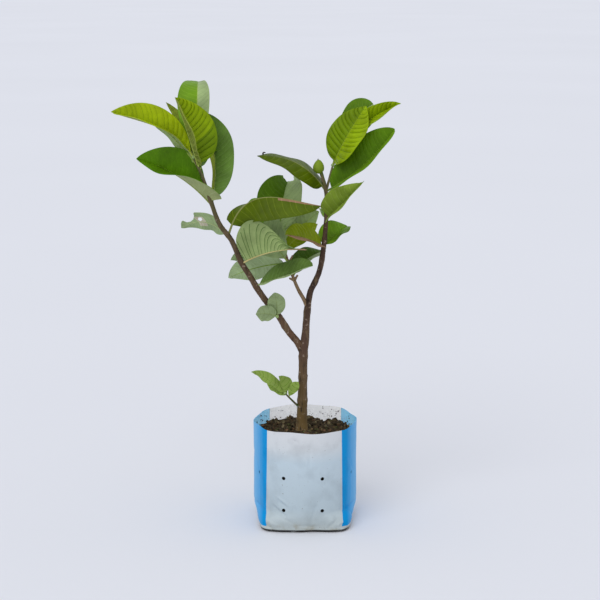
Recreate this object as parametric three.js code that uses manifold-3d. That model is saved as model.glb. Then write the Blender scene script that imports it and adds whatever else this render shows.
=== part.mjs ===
// A young guava tree in a white film grow bag. Millimetres, +Z up. The origin is the middle of
// the bag's flat underside, +X is to the right and +Y is away from the front panel.
import * as THREE from "three";
import { mergeVertices } from "three/addons/utils/BufferGeometryUtils.js";
import Module from "manifold-3d";

const wasm = await Module();
wasm.setup();

// ---------------------------------------------------------------- driving dimensions
const GAP = 0.3; // clearance between neighbouring solids

const PANEL_WIDTH = 101.6; // the film tube is four of these around
const BAG_RADIUS = (4 * PANEL_WIDTH) / (2 * Math.PI);
const BAG_HEIGHT = 130;
const FILM = 0.8;
const BASE_HALF = 57; // half the width of the folded, squarish foot
const BASE_SQUARENESS = 6; // superellipse exponent of the foot; 2 is round
const FOOT_HEIGHT = 27; // over this height the square foot turns into the round tube
const SEAM_ANGLE = 45; // the side panels reach this far either way of the left and right
const SEAM_FOOT = 7; // the white folded foot stands this high under the side panels
const HOLE_RADIUS = 2.2; // punched drain holes
const PANEL_HOLES = [[-26.5, 30], [21, 30], [-26.5, 71], [21, 71]]; // [x, z], front and back
const SIDE_HOLE = [-24, 68]; // [y, z], left and right
const HOLE_SIDES = 12;
const THROUGH = 300; // longer than anything it is cut through
const BAG_SIDES = 40;
const BAG_LEVELS = [0, 3, SEAM_FOOT, 14, 22, 30, 60, 95, BAG_HEIGHT]; // rings of the film

const SOIL_BELOW_RIM = 17;
const SOIL_RINGS = [58, 46, 34, 22, 12]; // radii of the rings in its top
const SOIL_LUMP = 1.9; // height of its lumps
const LUMP_WAVES = [[0.23, 0.08, 1.3], [0.42, -0.34, 2]]; // radians a millimetre in x and y, phase
const LUMP_CLEAR = [12, 24]; // flat this near the stem, lumpy from there

const LIMB_SIDES = 8;
const RING_SPACING = 6; // along a limb
const ARC_DIVISIONS = 400; // for measuring along a limb
const KNOT_SWELL = 0.11; // how much thicker a limb is at a knot
const KNOT_SHARE = 0.012; // half the length of a knot, as a share of its shoot

const TIP_SWELL = 1.9; // the bud at a shoot's end is this much thicker than the shoot
const TIP_SIDES = 9;
const TIP_RINGS = 6;

const LEAF_THICKNESS = 0.7; // of a very short leaf
const LEAF_THICKENING = 0.0065; // more for each millimetre of length
const STALK_HALF = 1.1;
const TIP_HALF = 0.5;
const LEAF_CUP = 0.1; // share of the half width that the blade cups by
const LEAF_WAVE = 1.1; // height of the ripple along a leaf's margin
const LEAF_WAVES = 14; // radians of ripple from root to tip
const WAVE_HALF = 4; // no ripple where half the blade is narrower than this
const PETIOLE = 0.07; // share of a leaf's length that is its stalk
const ROOT_ROUND = 0.5; // power of the outline's curve at the root; lower is rounder
const TIP_POINT = 0.85; // the same at the tip
const LEAF_STATIONS = [0, PETIOLE, 0.12, 0.24, 0.42, 0.6, 0.78, 0.92, 1];
const LEAF_ACROSS = 4;
const SMALL_LEAF = 50; // a leaf shorter than this has fewer faces
const SMALL_STATIONS = [0, PETIOLE, 0.2, 0.5, 0.8, 1];
const LOBE_END = 0.4; // share of the leaf over which a lobed root fades out
const SLIVER = 0.02; // faces thinner than this are merged into their neighbours
const BITE_SIDES = 10;
const SEED = 11;

const BUD = { at: [16.5, 18, 446], half: [6.8, 6.8, 8.6], sides: 10, rings: 8 };

const SOIL_TOP = BAG_HEIGHT - SOIL_BELOW_RIM;

// ---------------------------------------------------------------- the shoots
// Each shoot is one smooth centre line from its root to its tip, with its radius at shares of
// that line, and the knots where leaves stand or stood.
const SHOOTS = {
  leader: {
    points: [
      [-4, 6, SOIL_TOP + GAP], [-4, 6, 127], [-3, 2, 171], [-2, 0, 218], [0, 0, 234], [1.5, 3, 255],
      [3.5, 6, 275], [7, 8, 293], [12, 10, 303], [18, 12, 318], [22, 14, 340], [24.5, 15, 362],
      [26, 16.5, 385], [25.5, 18, 415], [18, 18, 444],
    ],
    radii: [[0, 8.2], [0.03, 6.9], [0.09, 6.3], [0.2, 5.4], [0.34, 5.5], [0.4, 4.5], [0.55, 3.6],
      [0.72, 3.1], [0.86, 2.4], [1, 2.2]],
    knots: [0.12, 0.21, 0.29, 0.46, 0.57, 0.66, 0.74, 0.83, 0.94],
  },
  left: {
    points: [
      [-1.5, 0, 212], [-8, -1, 227], [-21, -3, 244], [-33, -6, 264], [-48, -9, 283], [-59, -12, 300],
      [-68, -14, 316], [-78, -16, 333], [-90, -18, 361], [-104, -20, 381], [-114, -22, 409],
      [-124, -22, 439], [-134, -22, 462],
    ],
    radii: [[0, 4.6], [0.1, 4.3], [0.37, 3.7], [0.62, 3.1], [0.8, 2.6], [0.91, 2], [1, 1.3]],
    knots: [0.16, 0.26, 0.38, 0.51, 0.64, 0.8, 0.91],
  },
  centre: {
    points: [[2, 5, 274], [-1, 7, 281], [-8, 9, 293], [-14, 14, 306], [-21, 22, 326], [-25, 26, 338],
      [-31, 31, 352]],
    radii: [[0, 2.6], [0.4, 2], [1, 1.3]],
    knots: [0.22, 0.4, 0.66, 0.84],
  },
  basal: {
    points: [[-4, 3, 142], [-9, 0, 147], [-18, -8, 158], [-25, -10, 166]],
    radii: [[0, 1.5], [1, 1]],
    knots: [0.6],
  },
  lowTwig: {
    points: [[-31, -6, 261], [-33.5, -10, 263], [-34.5, -14, 265]],
    radii: [[0, 1.6], [1, 1.2]],
    knots: [],
  },
  crownTwig: {
    points: [[25, 18, 413], [29, 21, 428], [34, 24, 447]],
    radii: [[0, 1.8], [1, 1.2]],
    knots: [],
  },
};

// ---------------------------------------------------------------- the leaves
// at: share of the shoot where the leaf stands. reach: from there to its tip. faces: azimuth and
// elevation, in degrees, that its upper face looks to. arch and bow: how far the midrib bulges
// upwards and to its left. fold: how far the left and right halves rise from flat, in degrees;
// foldTip is the same at the tip, and ease above 1 brings it nearer the root. skew puts the bulge
// nearer the root. width and base may be a pair for the two halves. base and point are the powers
// of the outline's curve at root and tip: lower is rounder. bites are eaten away: [x, z, radius].
// lobe: how far the left margin runs back past the stalk at the root.
const LEAVES = {
  left_crown: [
    { name: "arched", on: "left", at: 0.99, reach: [-98, -9, 58], width: 46, widest: 0.56,
      base: 0.9, faces: [-90, 45], arch: 12.5, skew: 0.6, fold: [60, 42] },
    { name: "quilted", on: "left", at: 0.945, reach: [-26, -22, 88], width: 68, widest: 0.42,
      faces: [-74, 12], arch: 1, fold: [91, 12] },
    { name: "spear", on: "left", at: 1, reach: [-34, 24, 64], width: 14, faces: [-90, 20], bow: -10,
      fold: [30, 30] },
    { name: "tall", on: "left", at: 0.96, reach: [-3, 88, 93], width: [48, 30], point: 0.7,
      base: [1, 1.3], faces: [-78, 30], arch: 38, skew: -0.4, fold: [-8, 20], foldTip: [-5, 26] },
    { name: "shaded", on: "left", at: 0.79, reach: [-11, 56, 105], width: [34, 52],
      faces: [-100, 10], arch: 2, bow: -8, fold: [97, 15], foldTip: [80, 15] },
    { name: "folded", on: "left", at: 0.78, reach: [-92, 12, 56], width: [64, 64], base: [0.2, 1.7],
      lobe: 17, faces: [-90, 40], arch: 9, fold: [140, 30], foldTip: [45, 42], ease: 2 },
    { name: "behind", on: "left", at: 0.96, reach: [-61, 30, 56], width: 20, faces: [90, 40],
      arch: 4, fold: [15, 15] },
    { name: "rear", on: "left", at: 0.94, reach: [14, 80, 22], width: 30, faces: [100, 60], arch: 8,
      fold: [15, 15] },
  ],
  left_lower: [
    { name: "chewed", on: "left", at: 0.635, reach: [-60, 45, 2], width: 34, faces: [90, 35],
      arch: 12, fold: [10, 10], bites: [[-151, 393, 16.5], [-129, 383, 2.6]] },
    { name: "long", on: "left", at: 0.635, reach: [113, -31, 41], width: [32, 60], widest: 0.44,
      base: [0.3, 0.5], faces: [-90, 70], arch: 30, skew: 0.5, fold: [80, -35], foldTip: [-60, -35],
      ease: 4 },
    { name: "ribbed", on: "left", at: 0.5, reach: [78, -40, 24], width: [36, 92], widest: 0.33,
      point: 4.6, faces: [90, 18], arch: 6, fold: [72, 15] },
    { name: "fronting", on: "left", at: 0.385, reach: [70, -38, 32], width: 42, point: 0.6,
      faces: [-90, 50], fold: [12, 45] },
  ],
  centre: [
    { name: "under", on: "centre", at: 0.66, reach: [-76, 26, -24], width: 40, faces: [90, 30],
      arch: 4, fold: [10, 10] },
    { name: "small", on: "centre", at: 0.9, reach: [-66, 17, -20], width: 24, faces: [90, 30],
      arch: 4, fold: [10, 10] },
    { name: "notched", on: "centre", at: 1, reach: [11, 46, 73], width: 66, base: [0.5, 1.2],
      faces: [-95, 40], arch: 14, fold: [8, 35], foldTip: [40, 50], bites: [[-20.6, 428, 6.8]] },
    { name: "bright", on: "centre", at: 0.66, reach: [-46, 23, 77], width: 60, base: 1,
      faces: [-90, 25], arch: 4, bow: 14, fold: [10, 62] },
    { name: "pale", on: "centre", at: 0.84, reach: [43, 16, 47], width: 38, base: 0.3,
      faces: [100, 30], arch: 4, fold: [15, 15] },
    { name: "yellow", on: "centre", at: 0.84, reach: [41, -2, 34], width: 22, faces: [-90, 20],
      arch: 3, fold: [15, 15] },
    { name: "dark", on: "centre", at: 0.46, reach: [40, 46, 23], width: 38, faces: [-105, 42],
      arch: 7, fold: [10, 45] },
    { name: "veiled", on: "centre", at: 1, reach: [2, 30, 48], width: 44, widest: 0.66,
      faces: [90, 30], arch: 4, fold: [10, 10] },
    { name: "rear", on: "centre", at: 1, reach: [-6, 80, 20], width: 36, faces: [90, 60], arch: 12,
      fold: [15, 15] },
  ],
  right_lower: [
    { name: "rosy", on: "leader", at: 0.709, reach: [-47, -49, 23], width: [42, 37], base: 0.25,
      faces: [-90, 55], arch: 3, fold: [22, 38] },
    { name: "round", on: "leader", at: 0.709, reach: [30, 31, 20], width: 40, base: 0.3, point: 0.7,
      faces: [-90, 45], arch: 3, fold: [15, 50] },
  ],
  right_crown: [
    { name: "front", on: "leader", at: 0.81, reach: [44, -56, 55], width: 44, widest: 0.36,
      base: 0.35, point: 1.4, faces: [-100, 30], arch: -1, fold: [45, 58] },
    { name: "olive", on: "leader", at: 0.913, reach: [-84, -13, 45], width: [46, 56], widest: 0.38,
      base: [0.7, 0.4], faces: [-90, 60], arch: 14, fold: [3, -22] },
    { name: "broad", on: "leader", at: 0.913, reach: [83, -13, 78], width: 58, point: 0.6,
      faces: [-110, 45], arch: -7, fold: [35, 48] },
    { name: "sunny", on: "crownTwig", at: 1, reach: [40, -4, 73], width: [50, 50], widest: 0.43,
      faces: [-110, 25], arch: 2, bow: -9, fold: [10, 48], foldTip: [10, 5] },
    { name: "outer", on: "crownTwig", at: 1, reach: [83, 6, 75], width: [30, 44], widest: 0.6,
      base: 0.9, faces: [-100, 45], arch: 12, fold: [68, 46] },
    { name: "backing", on: "crownTwig", at: 1, reach: [51, 50, 71], width: 44, widest: 0.62,
      faces: [-90, 40], arch: 12, fold: [60, 8] },
    { name: "rear", on: "leader", at: 0.81, reach: [2, 80, -14], width: 20, faces: [80, 60],
      arch: 12, fold: [15, 15] },
  ],
  low_pair: [
    { name: "upright", on: "lowTwig", at: 1, reach: [-3, -6, 31], width: 22, faces: [90, 10],
      arch: 2, fold: [10, 10] },
    { name: "sideways", on: "lowTwig", at: 1, reach: [-26, -6, 4], width: 24, faces: [90, 20],
      arch: 2, fold: [10, 10] },
  ],
  basal: [
    { name: "lance", on: "basal", at: 0.97, reach: [-42, -15, 32], width: 16, faces: [-90, 50],
      arch: 4, fold: [20, 20] },
    { name: "hidden", on: "basal", at: 0.86, reach: [-26, 14, 13], width: 15, faces: [-90, 40],
      arch: 2, fold: [10, 10] },
    { name: "lobe", on: "basal", at: 0.98, reach: [-8, -10, 25], width: [5, 25], widest: 0.4,
      faces: [-80, 15], arch: 1, fold: [10, 5] },
    { name: "wing", on: "basal", at: 0.8, reach: [12, -6, 21], width: 12, widest: 0.6,
      faces: [-80, 20], arch: 1, fold: [10, 10] },
  ],
};

// ---------------------------------------------------------------- small helpers
const radians = THREE.MathUtils.degToRad;
const mix = THREE.MathUtils.lerp;

function seededRandom(seed) {
  let state = seed;
  return () => {
    state = (Math.imul(state, 1103515245) + 12345) >>> 0;
    return state / 4294967296;
  };
}

// The value at `where` of a list of [place, value] pairs, straight between neighbours.
function ramp(pairs, where) {
  const next = pairs.findIndex(([place]) => place >= where);
  if (next <= 0) return pairs[next < 0 ? pairs.length - 1 : 0][1];
  const [low, from] = pairs[next - 1];
  const [high, to] = pairs[next];
  return mix(from, to, (where - low) / (high - low));
}

function towards([azimuth, elevation]) {
  const flat = Math.cos(radians(elevation));
  return new THREE.Vector3(
    flat * Math.cos(radians(azimuth)), flat * Math.sin(radians(azimuth)), Math.sin(radians(elevation)),
  );
}

function squareTo(direction, axis) {
  return direction.clone().addScaledVector(axis, -direction.dot(axis)).normalize();
}

// Moves every vertex of a geometry by move(vertex), which changes the vertex it is given.
function reshape(geometry, move) {
  const place = geometry.attributes.position;
  const vertex = new THREE.Vector3();
  for (let i = 0; i < place.count; i += 1) {
    vertex.fromBufferAttribute(place, i);
    move(vertex);
    place.setXYZ(i, vertex.x, vertex.y, vertex.z);
  }
  return geometry;
}

// ---------------------------------------------------------------- geometry to solid and back
function toSolid(geometry) {
  geometry.deleteAttribute("normal");
  geometry.deleteAttribute("uv");
  const merged = mergeVertices(geometry, 1e-3);
  const corners = merged.index.array;
  const place = merged.attributes.position.array;
  const faces = [];
  let volume = 0;
  const [a, b, c] = [new THREE.Vector3(), new THREE.Vector3(), new THREE.Vector3()];
  for (let i = 0; i < corners.length; i += 3) {
    const [p, q, r] = [corners[i], corners[i + 1], corners[i + 2]];
    if (p === q || q === r || r === p) continue;
    faces.push(p, q, r);
    volume += a.fromArray(place, 3 * p).dot(b.fromArray(place, 3 * q).cross(c.fromArray(place, 3 * r)));
  }
  if (volume < 0) faces.reverse();
  return new wasm.Manifold(new wasm.Mesh({
    numProp: 3, vertProperties: new Float32Array(place), triVerts: new Uint32Array(faces),
  }));
}

function toGeometry(solid) {
  const mesh = solid.getMesh();
  const geometry = new THREE.BufferGeometry();
  geometry.setAttribute("position", new THREE.BufferAttribute(mesh.vertProperties, 3));
  geometry.setIndex(new THREE.BufferAttribute(mesh.triVerts, 1));
  geometry.computeVertexNormals();
  return geometry;
}

const fuse = (solids) => solids.reduce((whole, next) => whole.add(next));
const cutAway = (solid, cutters) => cutters.reduce((left, next) => left.subtract(next), solid);

// A cut can leave loose scraps: only the largest piece is kept.
function largest(solid) {
  const pieces = new wasm.Manifold(solid.simplify(SLIVER).getMesh()).decompose();
  return pieces.reduce((best, next) => (next.volume() > best.volume() ? next : best));
}

// ---------------------------------------------------------------- limbs
function centreLine(shoot) {
  const curve = new THREE.CatmullRomCurve3(
    shoot.points.map((point) => new THREE.Vector3(...point)), false, "centripetal",
  );
  curve.arcLengthDivisions = ARC_DIVISIONS;
  return curve;
}

function limbRadius(shoot, share) {
  const knots = shoot.knots.map((knot) => KNOT_SWELL * Math.exp(-(((share - knot) / KNOT_SHARE) ** 2)));
  return ramp(shoot.radii, share) * (1 + knots.reduce((sum, knot) => sum + knot, 0));
}

// A stretch of a shoot, from one share of its line to another, made by bending a cylinder along
// it. `extra` thickens it all round and lengthens it, for cutting its neighbours clear.
function limb(name, from, to, extra = 0) {
  const shoot = SHOOTS[name];
  const curve = centreLine(shoot);
  const reach = extra / curve.getLength();
  const steps = Math.ceil(((to - from) * curve.getLength()) / RING_SPACING);
  const shares = Array.from({ length: steps + 1 }, (_, i) => mix(from - reach, to + reach, i / steps));
  const side = new THREE.Vector3(0, 1, 0);
  const cylinder = new THREE.CylinderGeometry(1, 1, 1, LIMB_SIDES, steps);
  return toSolid(reshape(cylinder, (vertex) => {
    const step = Math.round((vertex.y + 0.5) * steps);
    const share = THREE.MathUtils.clamp(shares[step], 0, 1);
    const along = curve.getTangentAt(share);
    const across = squareTo(side, along);
    const radius = limbRadius(shoot, share) + extra;
    const offset = across.clone().multiplyScalar(vertex.z * radius)
      .addScaledVector(across.clone().cross(along).negate(), -vertex.x * radius);
    const beyond = (shares[step] - share) * curve.getLength();
    vertex.copy(curve.getPointAt(share)).add(offset).addScaledVector(along, beyond);
  }));
}

// The resting bud at the end of a shoot, which the topmost leaf stalks come out of.
function shootTip(shoot) {
  const ball = new THREE.SphereGeometry(TIP_SWELL * limbRadius(shoot, 1), TIP_SIDES, TIP_RINGS);
  return toSolid(ball.rotateX(Math.PI / 2).translate(...shoot.points[shoot.points.length - 1]));
}

// ---------------------------------------------------------------- leaves
// A value that may be a pair, one for the left half and one for the right.
const ofSide = (value, side) => (Array.isArray(value) ? value[side] : value);

function bladeHalfWidth(leaf, share, side) {
  const blade = Math.max(0, (share - PETIOLE) / (1 - PETIOLE));
  const skewed = blade ** (Math.log(0.5) / Math.log(leaf.widest ?? 0.5));
  const power = mix(ofSide(leaf.base ?? ROOT_ROUND, side), leaf.point ?? TIP_POINT, blade);
  const outline = (4 * skewed * (1 - skewed)) ** power;
  return Math.max(share < 0.5 ? STALK_HALF : TIP_HALF, (ofSide(leaf.width, side) / 2) * outline);
}

function leafMidrib(leaf, root, share) {
  const reach = new THREE.Vector3(...leaf.reach);
  const along = reach.clone().normalize();
  const lift = squareTo(new THREE.Vector3(0, 0, 1), along);
  const left = lift.clone().cross(along);
  const bulge = 4 * share * (1 - share) * (1 + (leaf.skew ?? 0) * (1 - 2 * share));
  return root.clone().addScaledVector(reach, share)
    .addScaledVector(lift, (leaf.arch ?? 0) * bulge)
    .addScaledVector(left, (leaf.bow ?? 0) * bulge);
}

// One leaf: a thin slab bent along its midrib, folded along it and rippled at its margins.
function leafShape(leaf, random) {
  const root = centreLine(SHOOTS[leaf.on]).getPointAt(leaf.at);
  const length = new THREE.Vector3(...leaf.reach).length();
  const thickness = LEAF_THICKNESS + length * LEAF_THICKENING;
  const phase = 2 * Math.PI * random();
  const stations = length < SMALL_LEAF ? SMALL_STATIONS : LEAF_STATIONS;
  const segments = stations.length - 1;
  const slab = new THREE.BoxGeometry(1, 1, 1, segments, length < SMALL_LEAF ? 2 : LEAF_ACROSS, 1);
  const step = 1e-3;
  return reshape(slab, (vertex) => {
    const share = stations[Math.round((vertex.x + 0.5) * segments)];
    const across = 2 * vertex.y;
    const onRib = leafMidrib(leaf, root, share);
    const along = leafMidrib(leaf, root, share + step)
      .sub(leafMidrib(leaf, root, share - step)).normalize();
    const up = squareTo(towards(leaf.faces), along);
    const left = up.clone().cross(along);
    const side = across > 0 ? 0 : 1;
    const stillRoot = (1 - share) ** (leaf.ease ?? 1);
    const fold = radians(mix((leaf.foldTip ?? leaf.fold)[side], leaf.fold[side], stillRoot));
    const outward = Math.sign(across);
    const half = bladeHalfWidth(leaf, share, side);
    const rippled = half > WAVE_HALF ? across * across : 0;
    const wave = LEAF_WAVE * Math.sin(LEAF_WAVES * share + phase + outward) * rippled;
    const cup = -LEAF_CUP * half * across * across;
    const lobed = share > PETIOLE && side === 0 ? leaf.lobe ?? 0 : 0;
    const lobe = lobed * Math.max(0, 1 - share / LOBE_END) ** 2;
    const face = across === 0 ? up.clone()
      : up.clone().multiplyScalar(Math.cos(fold)).addScaledVector(left, -outward * Math.sin(fold));
    const sheet = Math.sign(vertex.z) * (share <= PETIOLE ? STALK_HALF : thickness / 2);
    vertex.copy(onRib)
      .addScaledVector(left, across * half * Math.cos(fold))
      .addScaledVector(up, Math.abs(across) * half * Math.sin(fold))
      .addScaledVector(along, -lobe * across * across)
      .addScaledVector(face, cup + wave + sheet);
  });
}

function leafSolid(leaf, random) {
  const eaten = (leaf.bites ?? []).map(([x, z, radius]) => (
    toSolid(new THREE.CylinderGeometry(radius, radius, THROUGH, BITE_SIDES).translate(x, 0, z))));
  return cutAway(toSolid(leafShape(leaf, random)), eaten);
}

// A mass of leaves on its stretches of shoots, fused into one solid and kept clear of limbs.
function leafMass(name, stretches, clearOf, extras = []) {
  const random = seededRandom(SEED + name.length);
  const stems = stretches.map(([shoot, from, to]) => limb(shoot, from, to));
  const tips = stretches.filter(([, , to]) => to === 1).map(([shoot]) => shootTip(SHOOTS[shoot]));
  const leaves = LEAVES[name].map((leaf) => leafSolid(leaf, random));
  return largest(cutAway(fuse([...stems, ...tips, ...leaves, ...extras]), clearOf));
}

// ---------------------------------------------------------------- the bag and its soil
// How far out the film stands at a height and angle, as a share of the round tube's radius.
function bagShape(height, angle) {
  const square = 1 - THREE.MathUtils.smoothstep(height, 0, FOOT_HEIGHT);
  const exponent = mix(2, BASE_SQUARENESS, square);
  const sum = Math.abs(Math.cos(angle)) ** exponent + Math.abs(Math.sin(angle)) ** exponent;
  return (mix(BAG_RADIUS, BASE_HALF, square) / BAG_RADIUS) * sum ** (-1 / exponent);
}

// Turns a profile of [radius, height] points about Z, and squares it off towards the foot.
function bagRound(profile, sides, lift = () => 0) {
  const points = profile.map(([radius, height]) => new THREE.Vector2(radius, height));
  const turned = new THREE.LatheGeometry(points, sides).rotateX(Math.PI / 2);
  return toSolid(reshape(turned, (vertex) => {
    const shape = bagShape(vertex.z, Math.atan2(vertex.y, vertex.x));
    const raised = lift(vertex.x, vertex.y, vertex.z);
    vertex.set(vertex.x * shape, vertex.y * shape, vertex.z + raised);
  }));
}

function filmTube() {
  const outside = BAG_LEVELS.map((height) => [BAG_RADIUS, height]);
  const inside = BAG_LEVELS.slice(1).reverse().map((height) => [BAG_RADIUS - FILM, height]);
  const floor = [BAG_RADIUS - FILM, 2 * FILM];
  return bagRound([[0, 0], ...outside, ...inside, floor, [0, 2 * FILM]], BAG_SIDES);
}

// The wedge of space that holds a side panel: turn is 0 for the right and 180 for the left.
function panelWedge(turn, margin) {
  const far = 2 * BAG_RADIUS;
  const corner = far * Math.tan(radians(SEAM_ANGLE));
  const shift = margin / Math.sin(radians(SEAM_ANGLE));
  const outline = new THREE.Shape([
    new THREE.Vector2(-shift, 0),
    new THREE.Vector2(far, -corner - shift),
    new THREE.Vector2(far, corner + shift),
  ]);
  const wedge = new THREE.ExtrudeGeometry(outline, { depth: 2 * BAG_HEIGHT, bevelEnabled: false });
  return toSolid(wedge.translate(0, 0, SEAM_FOOT - margin).rotateZ(radians(turn)));
}

// Punched holes go through the front and back panels and, one each, the side panels.
function punchedHoles() {
  const punch = () => new THREE.CylinderGeometry(HOLE_RADIUS, HOLE_RADIUS, THROUGH, HOLE_SIDES);
  const across = PANEL_HOLES.map(([x, z]) => punch().translate(x, 0, z));
  const along = punch().rotateZ(Math.PI / 2).translate(0, ...SIDE_HOLE);
  return fuse([...across, along].map(toSolid));
}

function soilLift(x, y, z) {
  if (z < SOIL_TOP - 1) return 0;
  const [stemX, stemY] = SHOOTS.leader.points[0];
  const lumpy = THREE.MathUtils.smoothstep(Math.hypot(x - stemX, y - stemY), ...LUMP_CLEAR);
  const lumps = LUMP_WAVES.map(([alongX, alongY, phase]) => Math.sin(alongX * x + alongY * y + phase));
  return SOIL_LUMP * lumpy * lumps.reduce((sum, lump) => sum + lump, 0);
}

function soilSolid() {
  const wall = BAG_RADIUS - FILM - GAP;
  const floor = 2 * FILM + GAP;
  const rings = SOIL_RINGS.map((radius) => [radius, SOIL_TOP]);
  const levels = BAG_LEVELS.filter((height) => height > floor && height < SOIL_TOP);
  const sides = levels.map((height) => [wall, height]);
  const profile = [[0, floor], [wall, floor], ...sides, [wall, SOIL_TOP], ...rings, [0, SOIL_TOP]];
  return bagRound(profile.reverse(), BAG_SIDES, soilLift);
}

// ---------------------------------------------------------------- assembly
const guava = new THREE.Group();

function addPart(name, solid, colour, roughness = 0.7) {
  const material = new THREE.MeshStandardMaterial({ color: colour, roughness, metalness: 0 });
  const mesh = new THREE.Mesh(toGeometry(solid), material);
  mesh.name = name;
  guava.add(mesh);
}

const FILM_WHITE = 0xdfe5ea;
const FILM_BLUE = 0x2a93d5;
const SOIL_BROWN = 0x3d2d22;
const BARK = 0x5f4a38;
const BARK_DARK = 0x4a372a;
const LEAF_GREEN = 0x4f7d2a;
const LEAF_YOUNG = 0x86a526;
const LEAF_PALE = 0x8fa77c;

// Where the shoots are cut into nodes, as shares of their lines. A stretch ends half a gap short.
const CUT = {
  fork: 0.365, rightLower: 0.685, rightCrown: 0.775, leftLower: 0.365, leftCrown: 0.69, centre: 0.42,
};
const halfGap = (name) => GAP / 2 / centreLine(SHOOTS[name]).getLength();
const LEAD = halfGap("leader");
const LEFT = halfGap("left");
const MID = halfGap("centre");

const trunkCutter = limb("leader", 0, CUT.fork, GAP);
const rightCutter = limb("leader", CUT.fork, CUT.rightLower, GAP);
const leftCutter = limb("left", 0, CUT.leftLower, GAP);
const leftStemCutter = limb("left", CUT.leftLower, CUT.leftCrown - LEFT, GAP);

const film = filmTube();
const holes = punchedHoles();
const panelGaps = [panelWedge(0, GAP / 2), panelWedge(180, GAP / 2)];
addPart("grow_bag", cutAway(film, [...panelGaps, holes]), FILM_WHITE, 0.35);
addPart("blue_panel_left", film.intersect(panelWedge(180, -GAP / 2)).subtract(holes), FILM_BLUE, 0.35);
addPart("blue_panel_right", film.intersect(panelWedge(0, -GAP / 2)).subtract(holes), FILM_BLUE, 0.35);
addPart("soil", soilSolid(), SOIL_BROWN, 0.95);

addPart("trunk", limb("leader", 0, CUT.fork - LEAD), BARK);
addPart("bough_right", limb("leader", CUT.fork + LEAD, CUT.rightLower - LEAD), BARK_DARK);
const leftLimb = limb("left", 0, CUT.leftLower - LEFT);
addPart("bough_left", cutAway(leftLimb, [trunkCutter, rightCutter]), BARK_DARK);
addPart("twig_centre", cutAway(limb("centre", 0, CUT.centre - MID), [rightCutter]), BARK);

const bud = new THREE.SphereGeometry(1, BUD.sides, BUD.rings).rotateX(Math.PI / 2)
  .scale(...BUD.half).translate(...BUD.at);
const leftLowerStems = [["left", CUT.leftLower + LEFT, CUT.leftCrown - LEFT]];
const leftCrownStems = [["left", CUT.leftCrown + LEFT, 1]];
const rightLowerStems = [["leader", CUT.rightLower + LEAD, CUT.rightCrown - LEAD]];
const rightCrownStems = [["leader", CUT.rightCrown + LEAD, 1], ["crownTwig", 0, 1]];
addPart("foliage_left_lower", leafMass("left_lower", leftLowerStems, []), LEAF_GREEN);
addPart("foliage_left_crown", leafMass("left_crown", leftCrownStems, [leftStemCutter]), LEAF_YOUNG);
addPart("foliage_centre", leafMass("centre", [["centre", CUT.centre + MID, 1]], []), LEAF_GREEN);
addPart("foliage_right_lower", leafMass("right_lower", rightLowerStems, []), LEAF_GREEN);
addPart("foliage_right_crown", leafMass("right_crown", rightCrownStems, [], [toSolid(bud)]), LEAF_YOUNG);
addPart("leaf_pair_low", leafMass("low_pair", [["lowTwig", 0, 1]], [leftCutter]), LEAF_PALE);
addPart("basal_shoot", leafMass("basal", [["basal", 0, 1]], [trunkCutter]), LEAF_YOUNG);

export default guava;
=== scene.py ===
"""A young guava tree in a film grow bag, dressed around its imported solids.

The frame is in metres, with +Z up and the origin in the middle of the bag's flat underside.
"""
import math

import bpy
import numpy as np
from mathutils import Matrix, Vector, noise


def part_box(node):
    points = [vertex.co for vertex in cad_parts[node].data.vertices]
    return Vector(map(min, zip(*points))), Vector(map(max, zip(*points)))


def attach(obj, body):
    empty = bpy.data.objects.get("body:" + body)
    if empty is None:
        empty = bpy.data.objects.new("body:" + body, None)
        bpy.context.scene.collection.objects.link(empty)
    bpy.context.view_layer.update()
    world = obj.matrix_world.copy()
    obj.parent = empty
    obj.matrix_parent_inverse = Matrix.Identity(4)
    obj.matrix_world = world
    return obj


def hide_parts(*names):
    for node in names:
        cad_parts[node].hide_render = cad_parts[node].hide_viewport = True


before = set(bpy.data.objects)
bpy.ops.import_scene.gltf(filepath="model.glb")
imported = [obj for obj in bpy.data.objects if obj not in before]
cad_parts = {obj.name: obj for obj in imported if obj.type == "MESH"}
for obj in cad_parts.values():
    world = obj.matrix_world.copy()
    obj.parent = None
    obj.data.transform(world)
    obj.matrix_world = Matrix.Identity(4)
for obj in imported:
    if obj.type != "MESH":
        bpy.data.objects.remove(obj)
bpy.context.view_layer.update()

bl_info = {
    "name": "Guava tree in a grow bag",
    "version": (1, 0, 0),
    "blender": (4, 5, 0),
    "location": "View3D > Sidebar > Guava",
    "description": "Leaves, bark, soil and film around the solids of a young guava tree",
    "category": "Add Mesh",
}

MM = 0.001
BODY = "root"

# ---------------------------------------------------------------- the bag's frame
BAG_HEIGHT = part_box("grow_bag")[1].z
PANEL_WIDTH = 101.6 * MM
BAG_RADIUS = 2 * PANEL_WIDTH / math.pi  # of a round bag with four panels
BASE_HALF = 57 * MM
BASE_SQUARENESS = 6
FOOT_HEIGHT = 27 * MM
# The seams beside the side panels, in turn from the front right: x at the rim and at the foot.
SEAMS = ((44.9, 46.6), (46.5, 47.5), (-45.5, -47.5), (-46.5, -49))
SEAM_ANGLE = 45  # about where the seams are, from the left and the right, in degrees
SEAM_FOOT = 7 * MM
HOLE_RADIUS = 2.2 * MM
PANEL_HOLES = ((-26.5, 30), (21, 30), (-26.5, 71), (21, 71))  # x and z, front and back
SIDE_HOLE = (-24, 68)  # y and z, left and right
SOIL_BELOW_RIM = 17 * MM
SOIL_TOP = BAG_HEIGHT - SOIL_BELOW_RIM
STEM_FOOT = (-4 * MM, 6 * MM)

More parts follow.
